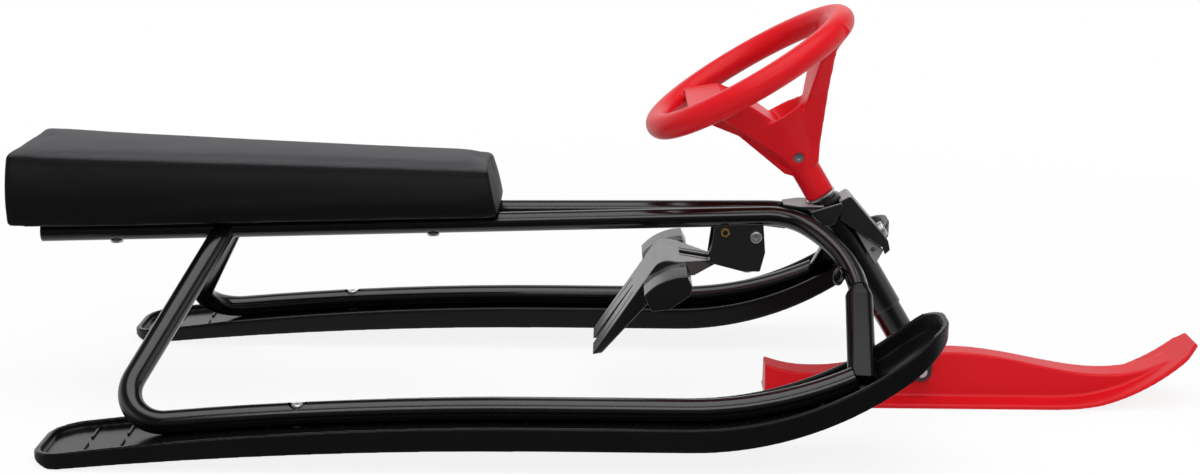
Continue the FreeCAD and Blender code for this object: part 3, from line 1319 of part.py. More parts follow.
def make_lever():
    wide = LEVER_HALF_WIDTH
    fork = LEVER_FORK_HALF_WIDTH
    bend, claw, arm, under_claw, under_arm = lever_places()
    body = side_prism(lever_profile(), -wide, wide)
    corner = [e for e in body.Edges if e.CenterOfMass.distanceToPoint(bend) < 0.1]
    body = body.makeFillet(LEVER_BEND_RADIUS, corner)
    boss = cross_cylinder(BRAKE_BOSS_D, BRAKE_PIVOT_X, BRAKE_PIVOT_Z, -fork, fork)
    rod_boss = cross_cylinder(PEG_ROD_D + LEVER_ARM_DEPTH, PEG_ROD_X, PEG_ROD_Z, -wide, wide)
    body = body.fuse(boss).fuse(rod_boss)
    tip = bend - claw * LEVER_CLAW_LENGTH
    arm_top = bend + arm * LEVER_ARM_LENGTH
    past = BRAKE_PIVOT_X + BRAKE_BOSS_D
    behind = tip.x - LEVER_ARM_DEPTH
    waist = PEG_ROD_X + PEG_WIDTH / 4
    plan = [(behind, -wide), (waist, -wide), (arm_top.x, -fork), (past, -fork),
            (past, fork), (arm_top.x, fork), (waist, wide), (behind, wide)]
    body = body.common(plan_prism(plan, 0, 2 * BRAKE_PIVOT_Z))
    slot_end = bend + arm * LEVER_ARM_FLAT
    fork_slot = Part.makeBox(past - slot_end.x, LEVER_FORK_SLOT, 2 * BRAKE_PIVOT_Z,
                             V(slot_end.x, -LEVER_FORK_SLOT / 2, 0))
    slot_top = tip + claw * CLAW_SLOT_LENGTH
    through = under_claw * (2 * LEVER_CLAW_DEPTH)
    claw_slot = channel(slot_top, tip, (0, 0), (CLAW_SLOT_TOP, CLAW_SLOT), through)
    cuts = [fork_slot, claw_slot]
    shallow = CLAW_GROOVE_DEPTH
    thin = (CLAW_GROOVE, CLAW_GROOVE)
    for side in (-1, 1):
        places = (side * CLAW_GROOVE_Y, side * CLAW_GROOVE_TIP_Y)
        cuts.append(channel(slot_top, tip, places, thin, under_claw * shallow))
        places = (side * ARM_GROOVE_Y, side * ARM_GROOVE_Y)
        cuts.append(channel(slot_end, arm_top, places, thin, under_arm * shallow))
    bore = cross_cylinder(BRAKE_BUSH_D, BRAKE_PIVOT_X, BRAKE_PIVOT_Z, -wide, wide)
    rod = cross_cylinder(PEG_ROD_D, PEG_ROD_X, PEG_ROD_Z, -wide, wide)
    return body.cut(cuts + [bore, rod]).removeSplitter()


def peg_face(y, shrink):
    # Side view of a foot peg with a round tread and a flat underside, drawn in by a margin.
    width = PEG_WIDTH - 2 * shrink
    height = PEG_HEIGHT - 2 * shrink

    def place(corner):
        return V(PEG_ROD_X + corner[0] * width, y, PEG_ROD_Z + corner[1] * height)

    corners = [place(corner) for corner in PEG_CORNERS]
    edges = [line(corners[k], corners[k + 1]) for k in range(len(corners) - 1)]
    edges.append(arc(corners[-1], place(PEG_TREAD), corners[0]))
    return Part.Face(Part.Wire(edges))


def make_peg():
    # The inner half of the tread is grooved, and the outer half is smooth.
    y_in = -LEVER_HALF_WIDTH - WELD_GAP
    y_out = -PEG_REACH
    peg = peg_face(y_out, 0).extrude(V(0, y_in - y_out, 0))
    for k in range(PEG_GROOVES):
        y = y_in - PEG_GROOVE_PITCH * (k + 1)
        band = peg_face(y, -PEG_GROOVE).extrude(V(0, PEG_GROOVE, 0))
        core = peg_face(y, PEG_GROOVE_DEPTH).extrude(V(0, PEG_GROOVE, 0))
        peg = peg.cut(band.cut(core))
    rod = cross_cylinder(PEG_ROD_D, PEG_ROD_X, PEG_ROD_Z, y_out + PEG_WALL_END, 0)
    return peg.cut(rod)


def make_peg_rod():
    end = PEG_REACH - PEG_WALL_END
    return cross_cylinder(PEG_ROD_D, PEG_ROD_X, PEG_ROD_Z, -end, end)


def make_brake_bush():
    end = LEVER_FORK_HALF_WIDTH + BUSH_PROUD
    outer = cross_cylinder(BRAKE_BUSH_D, BRAKE_PIVOT_X, BRAKE_PIVOT_Z, -end, end)
    bore_d = BRAKE_PIVOT_D + 2 * RUNNING_CLEARANCE
    return outer.cut(cross_cylinder(bore_d, BRAKE_PIVOT_X, BRAKE_PIVOT_Z, -end, end))


def biarc(first, first_direction, last, last_direction):
    # Two arcs that join two points with the given directions.
    chord = last - first
    lean = chord.dot(first_direction + last_direction)
    spread = 2 * (1 - first_direction.dot(last_direction))
    reach = (math.sqrt(lean ** 2 + spread * chord.dot(chord)) - lean) / spread
    near = first + first_direction * reach
    far = last - last_direction * reach
    middle = (near + far) * 0.5
    edges = []
    for start, control, end in ((first, near, middle), (middle, far, last)):
        base = (start + end) * 0.5
        height = (control - base).Length
        half = (end - start).Length / 2
        turn = math.atan2(height, half)
        rise = half * math.tan(turn / 2)
        edges.append(arc(start, base + (control - base) * (rise / height), end))
    return edges


def spring_total():
    # Degrees wound from the rear leg round to the front leg.
    return 360 * SPRING_TURNS + SPRING_REAR_SLOPE + SPRING_FRONT_SLOPE


def coil_point(degrees):
    # A point of the coil and its direction, measured from the end of the rear leg.
    angle = math.radians(degrees - SPRING_REAR_SLOPE)
    r = BRAKE_BUSH_D / 2 + SPRING_SEAT_GAP + SPRING_WIRE_D / 2
    y = SPRING_PITCH * (degrees - spring_total() / 2) / 360
    point = V(BRAKE_PIVOT_X + r * math.sin(angle), y, BRAKE_PIVOT_Z + r * math.cos(angle))
    rise = SPRING_PITCH / (2 * math.pi)
    direction = V(r * math.cos(angle), rise, -r * math.sin(angle)).normalize()
    return point, direction


def spring_path():
    pieces = 4 * SPRING_TURNS + 1
    step = spring_total() / pieces
    first, first_direction = coil_point(0)
    edges = [line(first - first_direction * SPRING_REAR_LEG, first)]
    for k in range(pieces):
        start, start_direction = coil_point(k * step)
        end, end_direction = coil_point((k + 1) * step)
        edges += biarc(start, start_direction, end, end_direction)
    last, last_direction = coil_point(spring_total())
    edges.append(line(last, last + last_direction * SPRING_FRONT_LEG))
    return Part.Wire(edges)


def make_spring():
    samples = [coil_point(spring_total() * k / 120)[0] for k in range(121)]
    half_turn = int(120 * 180 / spring_total())
    gaps = [samples[i].distanceToPoint(samples[j]) for i in range(121) for j in range(i + half_turn, 121)]
    print("spring least gap to itself", round(min(gaps) - SPRING_WIRE_D, 2))
    return swept(spring_path(), SPRING_WIRE_D / 2)


def build():
    os.makedirs("parts", exist_ok=True)
    top_rail_solid, top_rail = make_top_rail()
    runner_rail_solid, runner_rail = make_runner_rail(top_rail_solid)
    runner = make_runner()
    screw, mouth = sole_screw(-1)
    runner = runner.cut(mouth).cut(screw)
    screws = make_runner_screws()
    runner = runner.cut(screws[0])
    save_pair("top_rail", top_rail)
    save_pair("runner_rail", runner_rail)
    save_pair("runner", runner)
    save_pair("front_leg", make_front_leg(top_rail_solid, runner_rail_solid, runner))
    save_pair("rope_eye", make_rope_eye(top_rail_solid))
    save("runner_screws", Part.makeCompound(screws + [sole_screw(-1)[0], sole_screw(1)[0]]))
    save("rail_end_plugs", Part.makeCompound(make_end_plugs()))

    save("seat_board", make_seat_board())
    save("seat_cushion", make_cushion())
    save("seat_bolts", Part.makeCompound(make_seat_bolts()))
    save("seat_tee_nuts", Part.makeCompound(make_tee_nuts()))

    head_solid = head_tube_solid()
    rails = [top_rail_solid, mirrored(top_rail_solid)]
    upper_gusset = make_upper_gusset(top_rail_solid)
    save("head_tube", make_head_tube())
    save("head_front_shield", make_shield(head_solid))
    save_pair("upper_gusset", upper_gusset)
    save_pair("lower_gusset", make_lower_gusset(head_solid))
    save("head_top_plate", make_top_plate(rails + [upper_gusset, mirrored(upper_gusset)]))
    save("head_front_bolt", make_front_bolt())
    save("upper_steering_bush", make_bush(HEAD_TOP, -1))
    save("lower_steering_bush", make_bush(HEAD_BOTTOM, 1))

    save("steering_wheel", make_wheel())
    save("wheel_clamp_screw", make_clamp_screw())
    save("wheel_clamp_nut", make_clamp_nut())
    save("steering_column", make_column())
    save("column_washer", washer_ring(WASHER_D, SLEEVE_BOTTOM, WASHER_T))
    save("thrust_collar", washer_ring(COLLAR_D, SLEEVE_BOTTOM + WASHER_T, COLLAR_T))
    save("ski_fork", make_fork())

    cheek = FORK_CHEEK_GAP / 2 + FORK_PLATE
    bolt_end = cheek + NUT_HEIGHT + BOLT_PROUD
    save("ski_pivot_bolt", cross_bolt(SKI_PIVOT_D, SKI_PIVOT_X, SKI_PIVOT_Z, -cheek, bolt_end,
                                      BOLT_HEAD_D, BOLT_HEAD))
    save("ski_pivot_nut", cross_nut(NUT_ACROSS, SKI_PIVOT_D, SKI_PIVOT_X, SKI_PIVOT_Z, cheek, NUT_HEIGHT))
    save("front_ski", make_ski())
    save("ski_pivot_sleeve", make_ski_sleeve())

    cheek = BRACKET_HALF_WIDTH
    bolt_end = cheek + NUT_HEIGHT + BOLT_PROUD
    save("brake_bracket", make_bracket(rails))
    save("brake_pivot_bolt", cross_bolt(BRAKE_PIVOT_D, BRAKE_PIVOT_X, BRAKE_PIVOT_Z, -cheek, bolt_end,
                                        BOLT_HEAD_D, BOLT_HEAD))
    save("brake_pivot_nut", cross_nut(NUT_ACROSS, BRAKE_PIVOT_D, BRAKE_PIVOT_X, BRAKE_PIVOT_Z, cheek,
                                      NUT_HEIGHT))
    pin_end = cheek + BOLT_HEAD
    save("brake_stop_pin", cross_cylinder(STOP_PIN_D, STOP_PIN_X, STOP_PIN_Z, -pin_end, pin_end))
    brass = []
    for side in (-1, 1):
        brass.append(cross_nut(SMALL_NUT_ACROSS, STOP_PIN_D, STOP_PIN_X, STOP_PIN_Z, side * cheek,
                               side * 0.8 * BOLT_HEAD))
    save("brake_stop_nuts", Part.makeCompound(brass))
    save("spring_anchor_bolt", make_anchor_bolt())
    save("brake_spring", make_spring())

    save("brake_lever", make_lever())
    save_pair("foot_peg", make_peg())
    save("foot_peg_rod", make_peg_rod())
    save("brake_bush", make_brake_bush())


build()
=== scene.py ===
import json
import math

import bpy
from bpy.props import FloatProperty, FloatVectorProperty, IntProperty, PointerProperty
from bpy.types import Operator, Panel, PropertyGroup
from mathutils import Matrix, Vector
from mathutils.kdtree import KDTree

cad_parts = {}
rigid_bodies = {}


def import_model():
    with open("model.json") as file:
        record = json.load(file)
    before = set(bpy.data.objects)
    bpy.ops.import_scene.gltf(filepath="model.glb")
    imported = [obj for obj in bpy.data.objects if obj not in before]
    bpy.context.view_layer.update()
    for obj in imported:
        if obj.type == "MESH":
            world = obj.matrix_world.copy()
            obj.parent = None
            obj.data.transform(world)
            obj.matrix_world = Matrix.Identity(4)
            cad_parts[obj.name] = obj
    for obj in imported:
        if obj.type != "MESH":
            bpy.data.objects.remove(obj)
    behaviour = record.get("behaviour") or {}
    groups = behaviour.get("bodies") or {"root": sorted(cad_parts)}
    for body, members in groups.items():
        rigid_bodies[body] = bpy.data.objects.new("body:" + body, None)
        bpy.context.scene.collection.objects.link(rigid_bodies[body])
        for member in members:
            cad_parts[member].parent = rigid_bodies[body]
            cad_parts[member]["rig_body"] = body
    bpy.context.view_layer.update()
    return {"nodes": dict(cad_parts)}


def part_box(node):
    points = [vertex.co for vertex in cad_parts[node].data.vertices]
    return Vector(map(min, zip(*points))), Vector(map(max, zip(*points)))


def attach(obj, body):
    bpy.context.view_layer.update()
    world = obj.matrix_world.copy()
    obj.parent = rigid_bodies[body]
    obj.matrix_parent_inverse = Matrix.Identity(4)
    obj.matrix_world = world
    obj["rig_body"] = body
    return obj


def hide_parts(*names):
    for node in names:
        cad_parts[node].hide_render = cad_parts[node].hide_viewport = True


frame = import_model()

bl_info = {
    "name": "Steering sled",
    "version": (1, 0, 0),
    "blender": (4, 5, 0),
    "location": "View3D > Sidebar > Sled",
    "description": "Dresses the steering sled: padded seat, moulded wheel and ski, runners, tubes and brake",
    "category": "Object",
}

NODES = frame["nodes"]
MM = 0.001
# Points of a CAD mesh that lie closer together than this are one point.
MERGE = 0.02 * MM
# Faces that meet at a smaller angle than this belong to one round face.
ROUND_ANGLE = math.radians(32)
# Mesh sizes of the small mouldings
LEG_MESH = 1.0 * MM
LEVER_MESH = 0.9 * MM
PEG_MESH = 0.7 * MM
# Smoothing passes that round the edges of each piece, and how far each pass goes
PASSES = {"wheel": 6, "ski": 7, "runner": 6, "leg": 6, "plate": 3, "lever": 3, "peg": 3,
          "seat": 2, "cover": 3}
PASS_FACTOR = 0.5
# Specular level of the coat on round tube and on pressed tube
TUBE_SHINE = 0.5
PRESSED_SHINE = 0.18
# The share of a runner's faces that is kept after smoothing
RUNNER_KEPT = 0.4
# The ribs of a runner start clear of the rim at its tail and stop short of its upturned dish.
RIB_START = 45 * MM
RIB_END_X = 0.205
RIB_WIDTH = 2 * MM
RIB_ROOT = 0.5 * MM
TUBE_CLEARANCE = 8 * MM
RIM_CLEARANCE = 9 * MM
# The hex recess of the clamp screw and the cross recess of the pivot bolt
HEX_RADIUS = 2.9 * MM
HEX_DEPTH = 2.4 * MM
CROSS_LENGTH = 6 * MM
CROSS_WIDTH = 1.3 * MM
CROSS_DEPTH = 1.6 * MM
# The seat's cover starts smaller by this share of its swell, and is pinned this near to the board.
START_SMALLER = 0.4
BOARD_PLAY = 3 * MM
FILLING_PRESSURE = 4
CLOTH_QUALITY = 5
# Each pass spreads a bulge of the seat by about one mesh size.
SETTLE_PASSES = 12
# A point of the finished cover moves as this many points of the filled one near it.
CARRIED_BY = 8
CARRY_BLUR = 0.2 * MM
FLOOR_SIZE = 60
FLOOR_DROP = 0.5 * MM
LAMP_AIM = (0, 0, 0.2)
# Name, place, width, depth and power of each lamp
LAMPS = (
    ("soft_box_above", (0.0, -0.4, 2.4), 2.8, 2.2, 46),
    ("soft_box_front", (0.2, -2.9, 2.3), 3.0, 1.2, 36),
    ("soft_box_rear", (0.0, 2.2, 1.6), 3.0, 1.0, 9),
)
SENSOR_WIDTH = 36
LENS = 63
CAMERA_PLACE = (-0.0069, -2.0188, 0.6205)
CAMERA_RIGHT = Vector((0.999942, 0.006035, 0.008879))
CAMERA_UP = Vector((-0.010000, 0.222821, 0.974808))
CAMERA_BACK = Vector((0.003904, -0.974841, 0.222868))


def linear(hex_value):
    """An sRGB hex value as linear red, green and blue."""
    parts = ((hex_value >> 16) & 255, (hex_value >> 8) & 255, hex_value & 255)
    shades = [part / 255 for part in parts]
    return tuple(s / 12.92 if s <= 0.04045 else ((s + 0.055) / 1.055) ** 2.4 for s in shades)


# Sizes and colours that a user would change


class SledColours(PropertyGroup):
    moulding: FloatVectorProperty(name="Moulding", description="Red of the wheel and the front ski",
                                  subtype="COLOR", size=3, min=0, max=1, default=linear(0xD40E1B))
    tube: FloatVectorProperty(name="Tube", description="Gloss black powder coat of the tubes",
                              subtype="COLOR", size=3, min=0, max=1, default=linear(0x08080A))
    plate: FloatVectorProperty(name="Plate", description="Satin black coat of the folded plates",
                               subtype="COLOR", size=3, min=0, max=1, default=linear(0x1A1A1B))
    # The grey of the lower gussets is a painted reflection.
    gusset_painted_reflection: FloatVectorProperty(name="Thin coat", description="Greyer coat of the lower gussets",
                                   subtype="COLOR", size=3, min=0, max=1, default=linear(0x8C8C8E))
    # The pale grey that plate_coat gives to faces that look up is a painted sheen.
    painted_sheen: FloatVectorProperty(name="Rubbed coat", description="Pale grey of the rubbed tops of plates",
                                subtype="COLOR", size=3, min=0, max=1, default=linear(0x98989A))
    runner: FloatVectorProperty(name="Runner", description="Black polypropylene of the runners",
                                subtype="COLOR", size=3, min=0, max=1, default=linear(0x0D0D0F))
    cover: FloatVectorProperty(name="Cover", description="Coated cover of the seat",
                               subtype="COLOR", size=3, min=0, max=1, default=linear(0x0F0F11))
    # The greyer top of the seat cover is a painted sheen.
    cover_painted_sheen: FloatVectorProperty(name="Cover top", description="Greyer top of the seat cover",
                                   subtype="COLOR", size=3, min=0, max=1, default=linear(0x434346))
    lever: FloatVectorProperty(name="Lever", description="Black nylon of the brake lever and pegs",
                               subtype="COLOR", size=3, min=0, max=1, default=linear(0x0C0C0E))
    # The grey of the lever's faces that look up is a painted sheen.
    lever_painted_sheen: FloatVectorProperty(name="Tread", description="Grey of the rubbed faces of the brake lever",
                               subtype="COLOR", size=3, min=0, max=1, default=linear(0x707072))
    floor: FloatVectorProperty(name="Floor", description="Pale floor under the sled",
                               subtype="COLOR", size=3, min=0, max=1, default=linear(0xF6F6F6))


class SledSizes(PropertyGroup):
    seat_mesh: FloatProperty(name="Seat mesh", description="Mesh size of the seat before it is filled",
                             unit="LENGTH", min=0.003, max=0.01, default=4 * MM)
    cover_mesh: FloatProperty(name="Cover mesh", description="Mesh size of the finished seat cover",
                              unit="LENGTH", min=0.0015, max=0.006, default=2.2 * MM)
    seat_swell: FloatProperty(name="Seat swell", description="How far the filling may push the cover out",
                              unit="LENGTH", min=0, max=0.02, default=2.5 * MM)
    seat_steps: IntProperty(name="Seat steps", description="Frames that the filling takes to settle",
                            min=5, max=60, default=20)
    wheel_mesh: FloatProperty(name="Wheel mesh", description="Mesh size of the steering wheel",
                              unit="LENGTH", min=0.001, max=0.005, default=1.6 * MM)
    ski_mesh: FloatProperty(name="Ski mesh", description="Mesh size of the front ski",
                            unit="LENGTH", min=0.001, max=0.005, default=1.3 * MM)
    runner_mesh: FloatProperty(name="Runner mesh", description="Mesh size of the runners",
                               unit="LENGTH", min=0.001, max=0.006, default=1.15 * MM)
    plate_mesh: FloatProperty(name="Plate mesh", description="Mesh size of the folded plates",
                              unit="LENGTH", min=0.0005, max=0.003, default=0.7 * MM)
    rib_pitch: FloatProperty(name="Rib pitch", description="Distance between the cross ribs in a runner",
                             unit="LENGTH", min=0.01, max=0.1, default=33 * MM)
    rib_height: FloatProperty(name="Rib height", description="Height of the cross ribs in a runner",
                              unit="LENGTH", min=0.0005, max=0.004, default=1.8 * MM)


# Nodes and materials


def add(tree, kind, settings=None, **links):
    """Adds one node with its settings, and links each named input to a socket or sets its value."""
    node = tree.nodes.new(kind)
    for key, value in (settings or {}).items():
        setattr(node, key, value)
    for key, value in links.items():
        numbered = key[0] == "i" and key[1:].isdigit()
        socket = node.inputs[int(key[1:]) if numbered else key.replace("_", " ")]
        if isinstance(value, bpy.types.NodeSocket):
            tree.links.new(value, socket)
        else:
            socket.default_value = value
    return node


def start(name):
    """An empty material with its shader, and the place on the piece in metres."""
    old = bpy.data.materials.get(name)
    if old:
        bpy.data.materials.remove(old)
    material = bpy.data.materials.new(name)
    material.use_nodes = True
    tree = material.node_tree
    shader = tree.nodes["Principled BSDF"]
    place = add(tree, "ShaderNodeTexCoord").outputs["Object"]
    return material, tree, shader, place


def per(size_mm):
    """Texture scale for features of that size."""
    return 1000 / size_mm


def scaled(colour, factor):
    """A linear colour made darker or lighter, with its alpha."""
    return (*(min(1.0, part * factor) for part in colour), 1.0)


def looks_up(tree, first, last):
    """How far a face looks up, from 0 at the first value to 1 at the last."""
    up = add(tree, "ShaderNodeAttribute", {"attribute_name": "looks_up"}).outputs["Fac"]
    return add(tree, "ShaderNodeMapRange", Value=up, From_Min=first, From_Max=last).outputs[0]


def dress(tree, shader, colour, rough, bump=None):
    """Links what varies over a finish to its shader."""
    tree.links.new(colour.outputs[2], shader.inputs["Base Color"])
    tree.links.new(rough.outputs[0], shader.inputs["Roughness"])
    if bump:
        tree.links.new(bump.outputs["Normal"], shader.inputs["Normal"])


def red_moulding(colours):
    # High-density polyethylene, injection moulded: even colour, satin skin with a faint orange peel
    # and slightly duller patches where the mould was worn.
    material, tree, shader, place = start("hdpe_red_moulded")
    cloud = add(tree, "ShaderNodeTexNoise", Vector=place, Scale=per(60), Detail=3).outputs["Fac"]
    peel = add(tree, "ShaderNodeTexNoise", Vector=place, Scale=per(3), Detail=1).outputs["Fac"]
    colour = add(tree, "ShaderNodeMix", {"data_type": "RGBA"}, i0=cloud,
                 i6=scaled(colours.moulding, 0.93), i7=scaled(colours.moulding, 1.07))
    rough = add(tree, "ShaderNodeMapRange", Value=cloud, To_Min=0.33, To_Max=0.45)
    bump = add(tree, "ShaderNodeBump", Strength=0.04, Distance=0.05 * MM, Height=peel)
    dress(tree, shader, colour, rough, bump)
    shader.inputs["IOR"].default_value = 1.54
    shader.inputs["Specular IOR Level"].default_value = 0.18
    return material


def tube_coat(colours, name, shine):
    # Powder coat on steel, gloss black: a deep skin with a very faint ripple and dust,
    # duller on pressed tube.
    material, tree, shader, place = start(name)
    ripple = add(tree, "ShaderNodeTexNoise", Vector=place, Scale=per(30), Detail=1).outputs["Fac"]
    dust = add(tree, "ShaderNodeTexNoise", Vector=place, Scale=per(40), Detail=4).outputs["Fac"]
    colour = add(tree, "ShaderNodeMix", {"data_type": "RGBA"}, i0=dust,
                 i6=scaled(colours.tube, 0.8), i7=scaled(colours.tube, 1.5))
    rough = add(tree, "ShaderNodeMapRange", Value=dust, To_Min=0.15, To_Max=0.2)
    bump = add(tree, "ShaderNodeBump", Strength=0.05, Distance=0.05 * MM, Height=ripple)
    dress(tree, shader, colour, rough, bump)
    shader.inputs["IOR"].default_value = 1.52
    shader.inputs["Specular IOR Level"].default_value = shine
    return material


def plate_coat(name, base, top):
    # The same powder coat on folded plate, satin: fine grain, and a painted sheen that turns the faces that
    # look up a pale grey.
    material, tree, shader, place = start(name)
    grain = add(tree, "ShaderNodeTexNoise", Vector=place, Scale=per(0.9), Detail=2).outputs["Fac"]
    dust = add(tree, "ShaderNodeTexNoise", Vector=place, Scale=per(18), Detail=4).outputs["Fac"]
    painted_sheen = add(tree, "ShaderNodeMix", {"data_type": "RGBA"}, i0=looks_up(tree, 0.6, 0.85),
                 i6=scaled(base, 1), i7=scaled(top, 1)).outputs[2]
    worn = add(tree, "ShaderNodeMix", {"data_type": "RGBA"}, i0=dust,
               i6=(0.8, 0.8, 0.8, 1), i7=(1, 1, 1, 1)).outputs[2]
    colour = add(tree, "ShaderNodeMix", {"data_type": "RGBA", "blend_type": "MULTIPLY"},
                 i0=1.0, i6=painted_sheen, i7=worn)
    rough = add(tree, "ShaderNodeMapRange", Value=dust, To_Min=0.34, To_Max=0.46)
    bump = add(tree, "ShaderNodeBump", Strength=0.15, Distance=0.05 * MM, Height=grain)
    dress(tree, shader, colour, rough, bump)
    shader.inputs["IOR"].default_value = 1.52
    return material


def runner_plastic(colours):
    # Polypropylene, injection moulded: satin walls, and a glossier recess with fine cross ribs.
    material, tree, shader, place = start("polypropylene_black_moulded")
    grain = add(tree, "ShaderNodeTexNoise", Vector=place, Scale=per(1.2), Detail=2).outputs["Fac"]
    cloud = add(tree, "ShaderNodeTexNoise", Vector=place, Scale=per(45), Detail=4).outputs["Fac"]
    colour = add(tree, "ShaderNodeMix", {"data_type": "RGBA"}, i0=cloud,
                 i6=scaled(colours.runner, 0.8), i7=scaled(colours.runner, 1.3))
    # Faces that look up were polished in the mould.
    rough = add(tree, "ShaderNodeMapRange", Value=looks_up(tree, 0.5, 0.8), To_Min=0.36, To_Max=0.18)
    bump = add(tree, "ShaderNodeBump", Strength=0.12, Distance=0.05 * MM, Height=grain)
    dress(tree, shader, colour, rough, bump)
    shader.inputs["IOR"].default_value = 1.49
    shader.inputs["Specular IOR Level"].default_value = 0.15
    return material


def seat_cover(colours):
    # Polyurethane-coated cloth: matt, with a fine pebble grain, and a painted sheen that makes the top
    # greyer than the sides.
    material, tree, shader, place = start("coated_cloth_black")
    pebble = add(tree, "ShaderNodeTexVoronoi", {"feature": "SMOOTH_F1"},
                 Vector=place, Scale=per(1.4)).outputs["Distance"]
    cloud = add(tree, "ShaderNodeTexNoise", Vector=place, Scale=per(70), Detail=4).outputs["Fac"]
    colour = add(tree, "ShaderNodeMix", {"data_type": "RGBA"}, i0=looks_up(tree, 0.6, 0.9),
                 i6=scaled(colours.cover, 1), i7=scaled(colours.cover_painted_sheen, 1))
    rough = add(tree, "ShaderNodeMapRange", Value=cloud, To_Min=0.48, To_Max=0.6)
    bump = add(tree, "ShaderNodeBump", Strength=0.2, Distance=0.12 * MM, Height=pebble)
    dress(tree, shader, colour, rough, bump)
    shader.inputs["IOR"].default_value = 1.5
    shader.inputs["Specular IOR Level"].default_value = 0.1
    return material


def lever_nylon(colours):
    # Glass-filled nylon, moulded in a grained tool: glossy black, with a painted sheen that makes the faces
    # that look up pale.
    material, tree, shader, place = start("nylon_black_grained")
    grain = add(tree, "ShaderNodeTexNoise", Vector=place, Scale=per(0.8), Detail=3).outputs["Fac"]
    cloud = add(tree, "ShaderNodeTexNoise", Vector=place, Scale=per(25), Detail=3).outputs["Fac"]
    colour = add(tree, "ShaderNodeMix", {"data_type": "RGBA"}, i0=looks_up(tree, 0.62, 0.92),
                 i6=scaled(colours.lever, 1), i7=scaled(colours.lever_painted_sheen, 1))
    rough = add(tree, "ShaderNodeMapRange", Value=cloud, To_Min=0.26, To_Max=0.34)
    bump = add(tree, "ShaderNodeBump", Strength=0.06, Distance=0.05 * MM, Height=grain)
    dress(tree, shader, colour, rough, bump)
    shader.inputs["IOR"].default_value = 1.56
    shader.inputs["Specular IOR Level"].default_value = 0.7
    return material


def plated(name, hex_value, rough_level):
    # Plated or plain metal of small fasteners, turned or drawn: cloudy, with duller patches.
    material, tree, shader, place = start(name)
    cloud = add(tree, "ShaderNodeTexNoise", Vector=place, Scale=per(4), Detail=4).outputs["Fac"]
    base = linear(hex_value)
    colour = add(tree, "ShaderNodeMix", {"data_type": "RGBA"}, i0=cloud,
                 i6=scaled(base, 0.85), i7=scaled(base, 1.1))
    rough = add(tree, "ShaderNodeMapRange", Value=cloud,
                To_Min=rough_level - 0.06, To_Max=rough_level + 0.1)
    dress(tree, shader, colour, rough)
    shader.inputs["Metallic"].default_value = 1.0
    return material


def board_film(colours):
    # Birch plywood with a black phenolic film: smooth and dull, with a faint long grain under the film.
    material, tree, shader, place = start("plywood_film_faced_black")
    stretch = add(tree, "ShaderNodeMapping", Vector=place, Scale=(1, 14, 14)).outputs[0]
    grain = add(tree, "ShaderNodeTexNoise", Vector=stretch, Scale=per(60), Detail=6).outputs["Fac"]
    colour = add(tree, "ShaderNodeMix", {"data_type": "RGBA"}, i0=grain,
                 i6=scaled(colours.tube, 1), i7=scaled(colours.tube, 2.0))
    rough = add(tree, "ShaderNodeMapRange", Value=grain, To_Min=0.4, To_Max=0.55)
    dress(tree, shader, colour, rough)
    shader.inputs["Specular IOR Level"].default_value = 0.2
    return material


# Work on meshes


def only(piece):
    """Leaves one object selected and active."""
    bpy.ops.object.select_all(action="DESELECT")
    piece.hide_set(False)
    piece.select_set(True)
    bpy.context.view_layer.objects.active = piece


def apply(piece, kind, **settings):
    """Adds one modifier with its settings and applies it."""
    only(piece)
    modifier = piece.modifiers.new(kind.lower(), kind)
    for key, value in settings.items():
        setattr(modifier, key, value)
    bpy.ops.object.modifier_apply(modifier=modifier.name)


def copy_of(node, name):
    """A merged copy of a node's mesh as an object of its own."""
    piece = bpy.data.objects.new(name, NODES[node].data.copy())
    bpy.context.scene.collection.objects.link(piece)
    piece.data.materials.clear()
    only(piece)
    bpy.ops.object.mode_set(mode="EDIT")
    bpy.ops.mesh.select_all(action="SELECT")
    bpy.ops.mesh.remove_doubles(threshold=MERGE)
    bpy.ops.mesh.customdata_custom_splitnormals_clear()
    bpy.ops.object.mode_set(mode="OBJECT")
    return piece


def moulded(node, name, mesh_size, passes):
    """A copy of a node with the rounded edges and inner corners of a moulding."""
    piece = copy_of(node, name)
    apply(piece, "REMESH", mode="VOXEL", voxel_size=mesh_size, adaptivity=0.0)
    apply(piece, "SMOOTH", factor=PASS_FACTOR, iterations=passes)
    bpy.ops.object.shade_smooth()
    return piece


def smooth_copy(node, name):
    """A merged copy of a node that keeps its sharp edges and shades its round faces smoothly."""
    piece = copy_of(node, name)
    bpy.ops.object.shade_smooth_by_angle(angle=ROUND_ANGLE)
    return piece


def cross_ribs(runner, node):
    """Low ribs across the recess of a runner, laid on its floor on both sides of the tube."""
    size = sizes()
    low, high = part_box(node)
    middle = (low.y + high.y) / 2
    inner = TUBE_CLEARANCE
    outer = (high.y - low.y) / 2 - RIM_CLEARANCE
    first = low.x + RIB_START
    count = int((RIB_END_X - first) / size.rib_pitch) + 1
    strips = []
    for side in (-1, 1):
        bpy.ops.object.select_all(action="DESELECT")
        bpy.ops.mesh.primitive_grid_add(x_subdivisions=2, y_subdivisions=8, size=1,
                                        location=(first, middle + side * (inner + outer) / 2, high.z))
        strip = bpy.context.active_object
        strip.scale = (RIB_WIDTH, outer - inner, 1)
        bpy.ops.object.transform_apply(location=True, rotation=True, scale=True)
        apply(strip, "ARRAY", count=count, use_relative_offset=False, use_constant_offset=True,
              constant_offset_displace=(size.rib_pitch, 0, 0))
        apply(strip, "SHRINKWRAP", target=runner, wrap_method="PROJECT", use_project_z=True,
              use_negative_direction=True, use_positive_direction=False, offset=-RIB_ROOT)
        apply(strip, "SOLIDIFY", thickness=size.rib_height + RIB_ROOT, offset=1)
        strips.append(strip)
    only(runner)
    for strip in strips:
        strip.select_set(True)
    bpy.ops.object.join()


def right_face(node):
    """The middle of a node's face on the rider's right."""
    low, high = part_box(node)
    return (low.x + high.x) / 2, low.y, (low.z + high.z) / 2


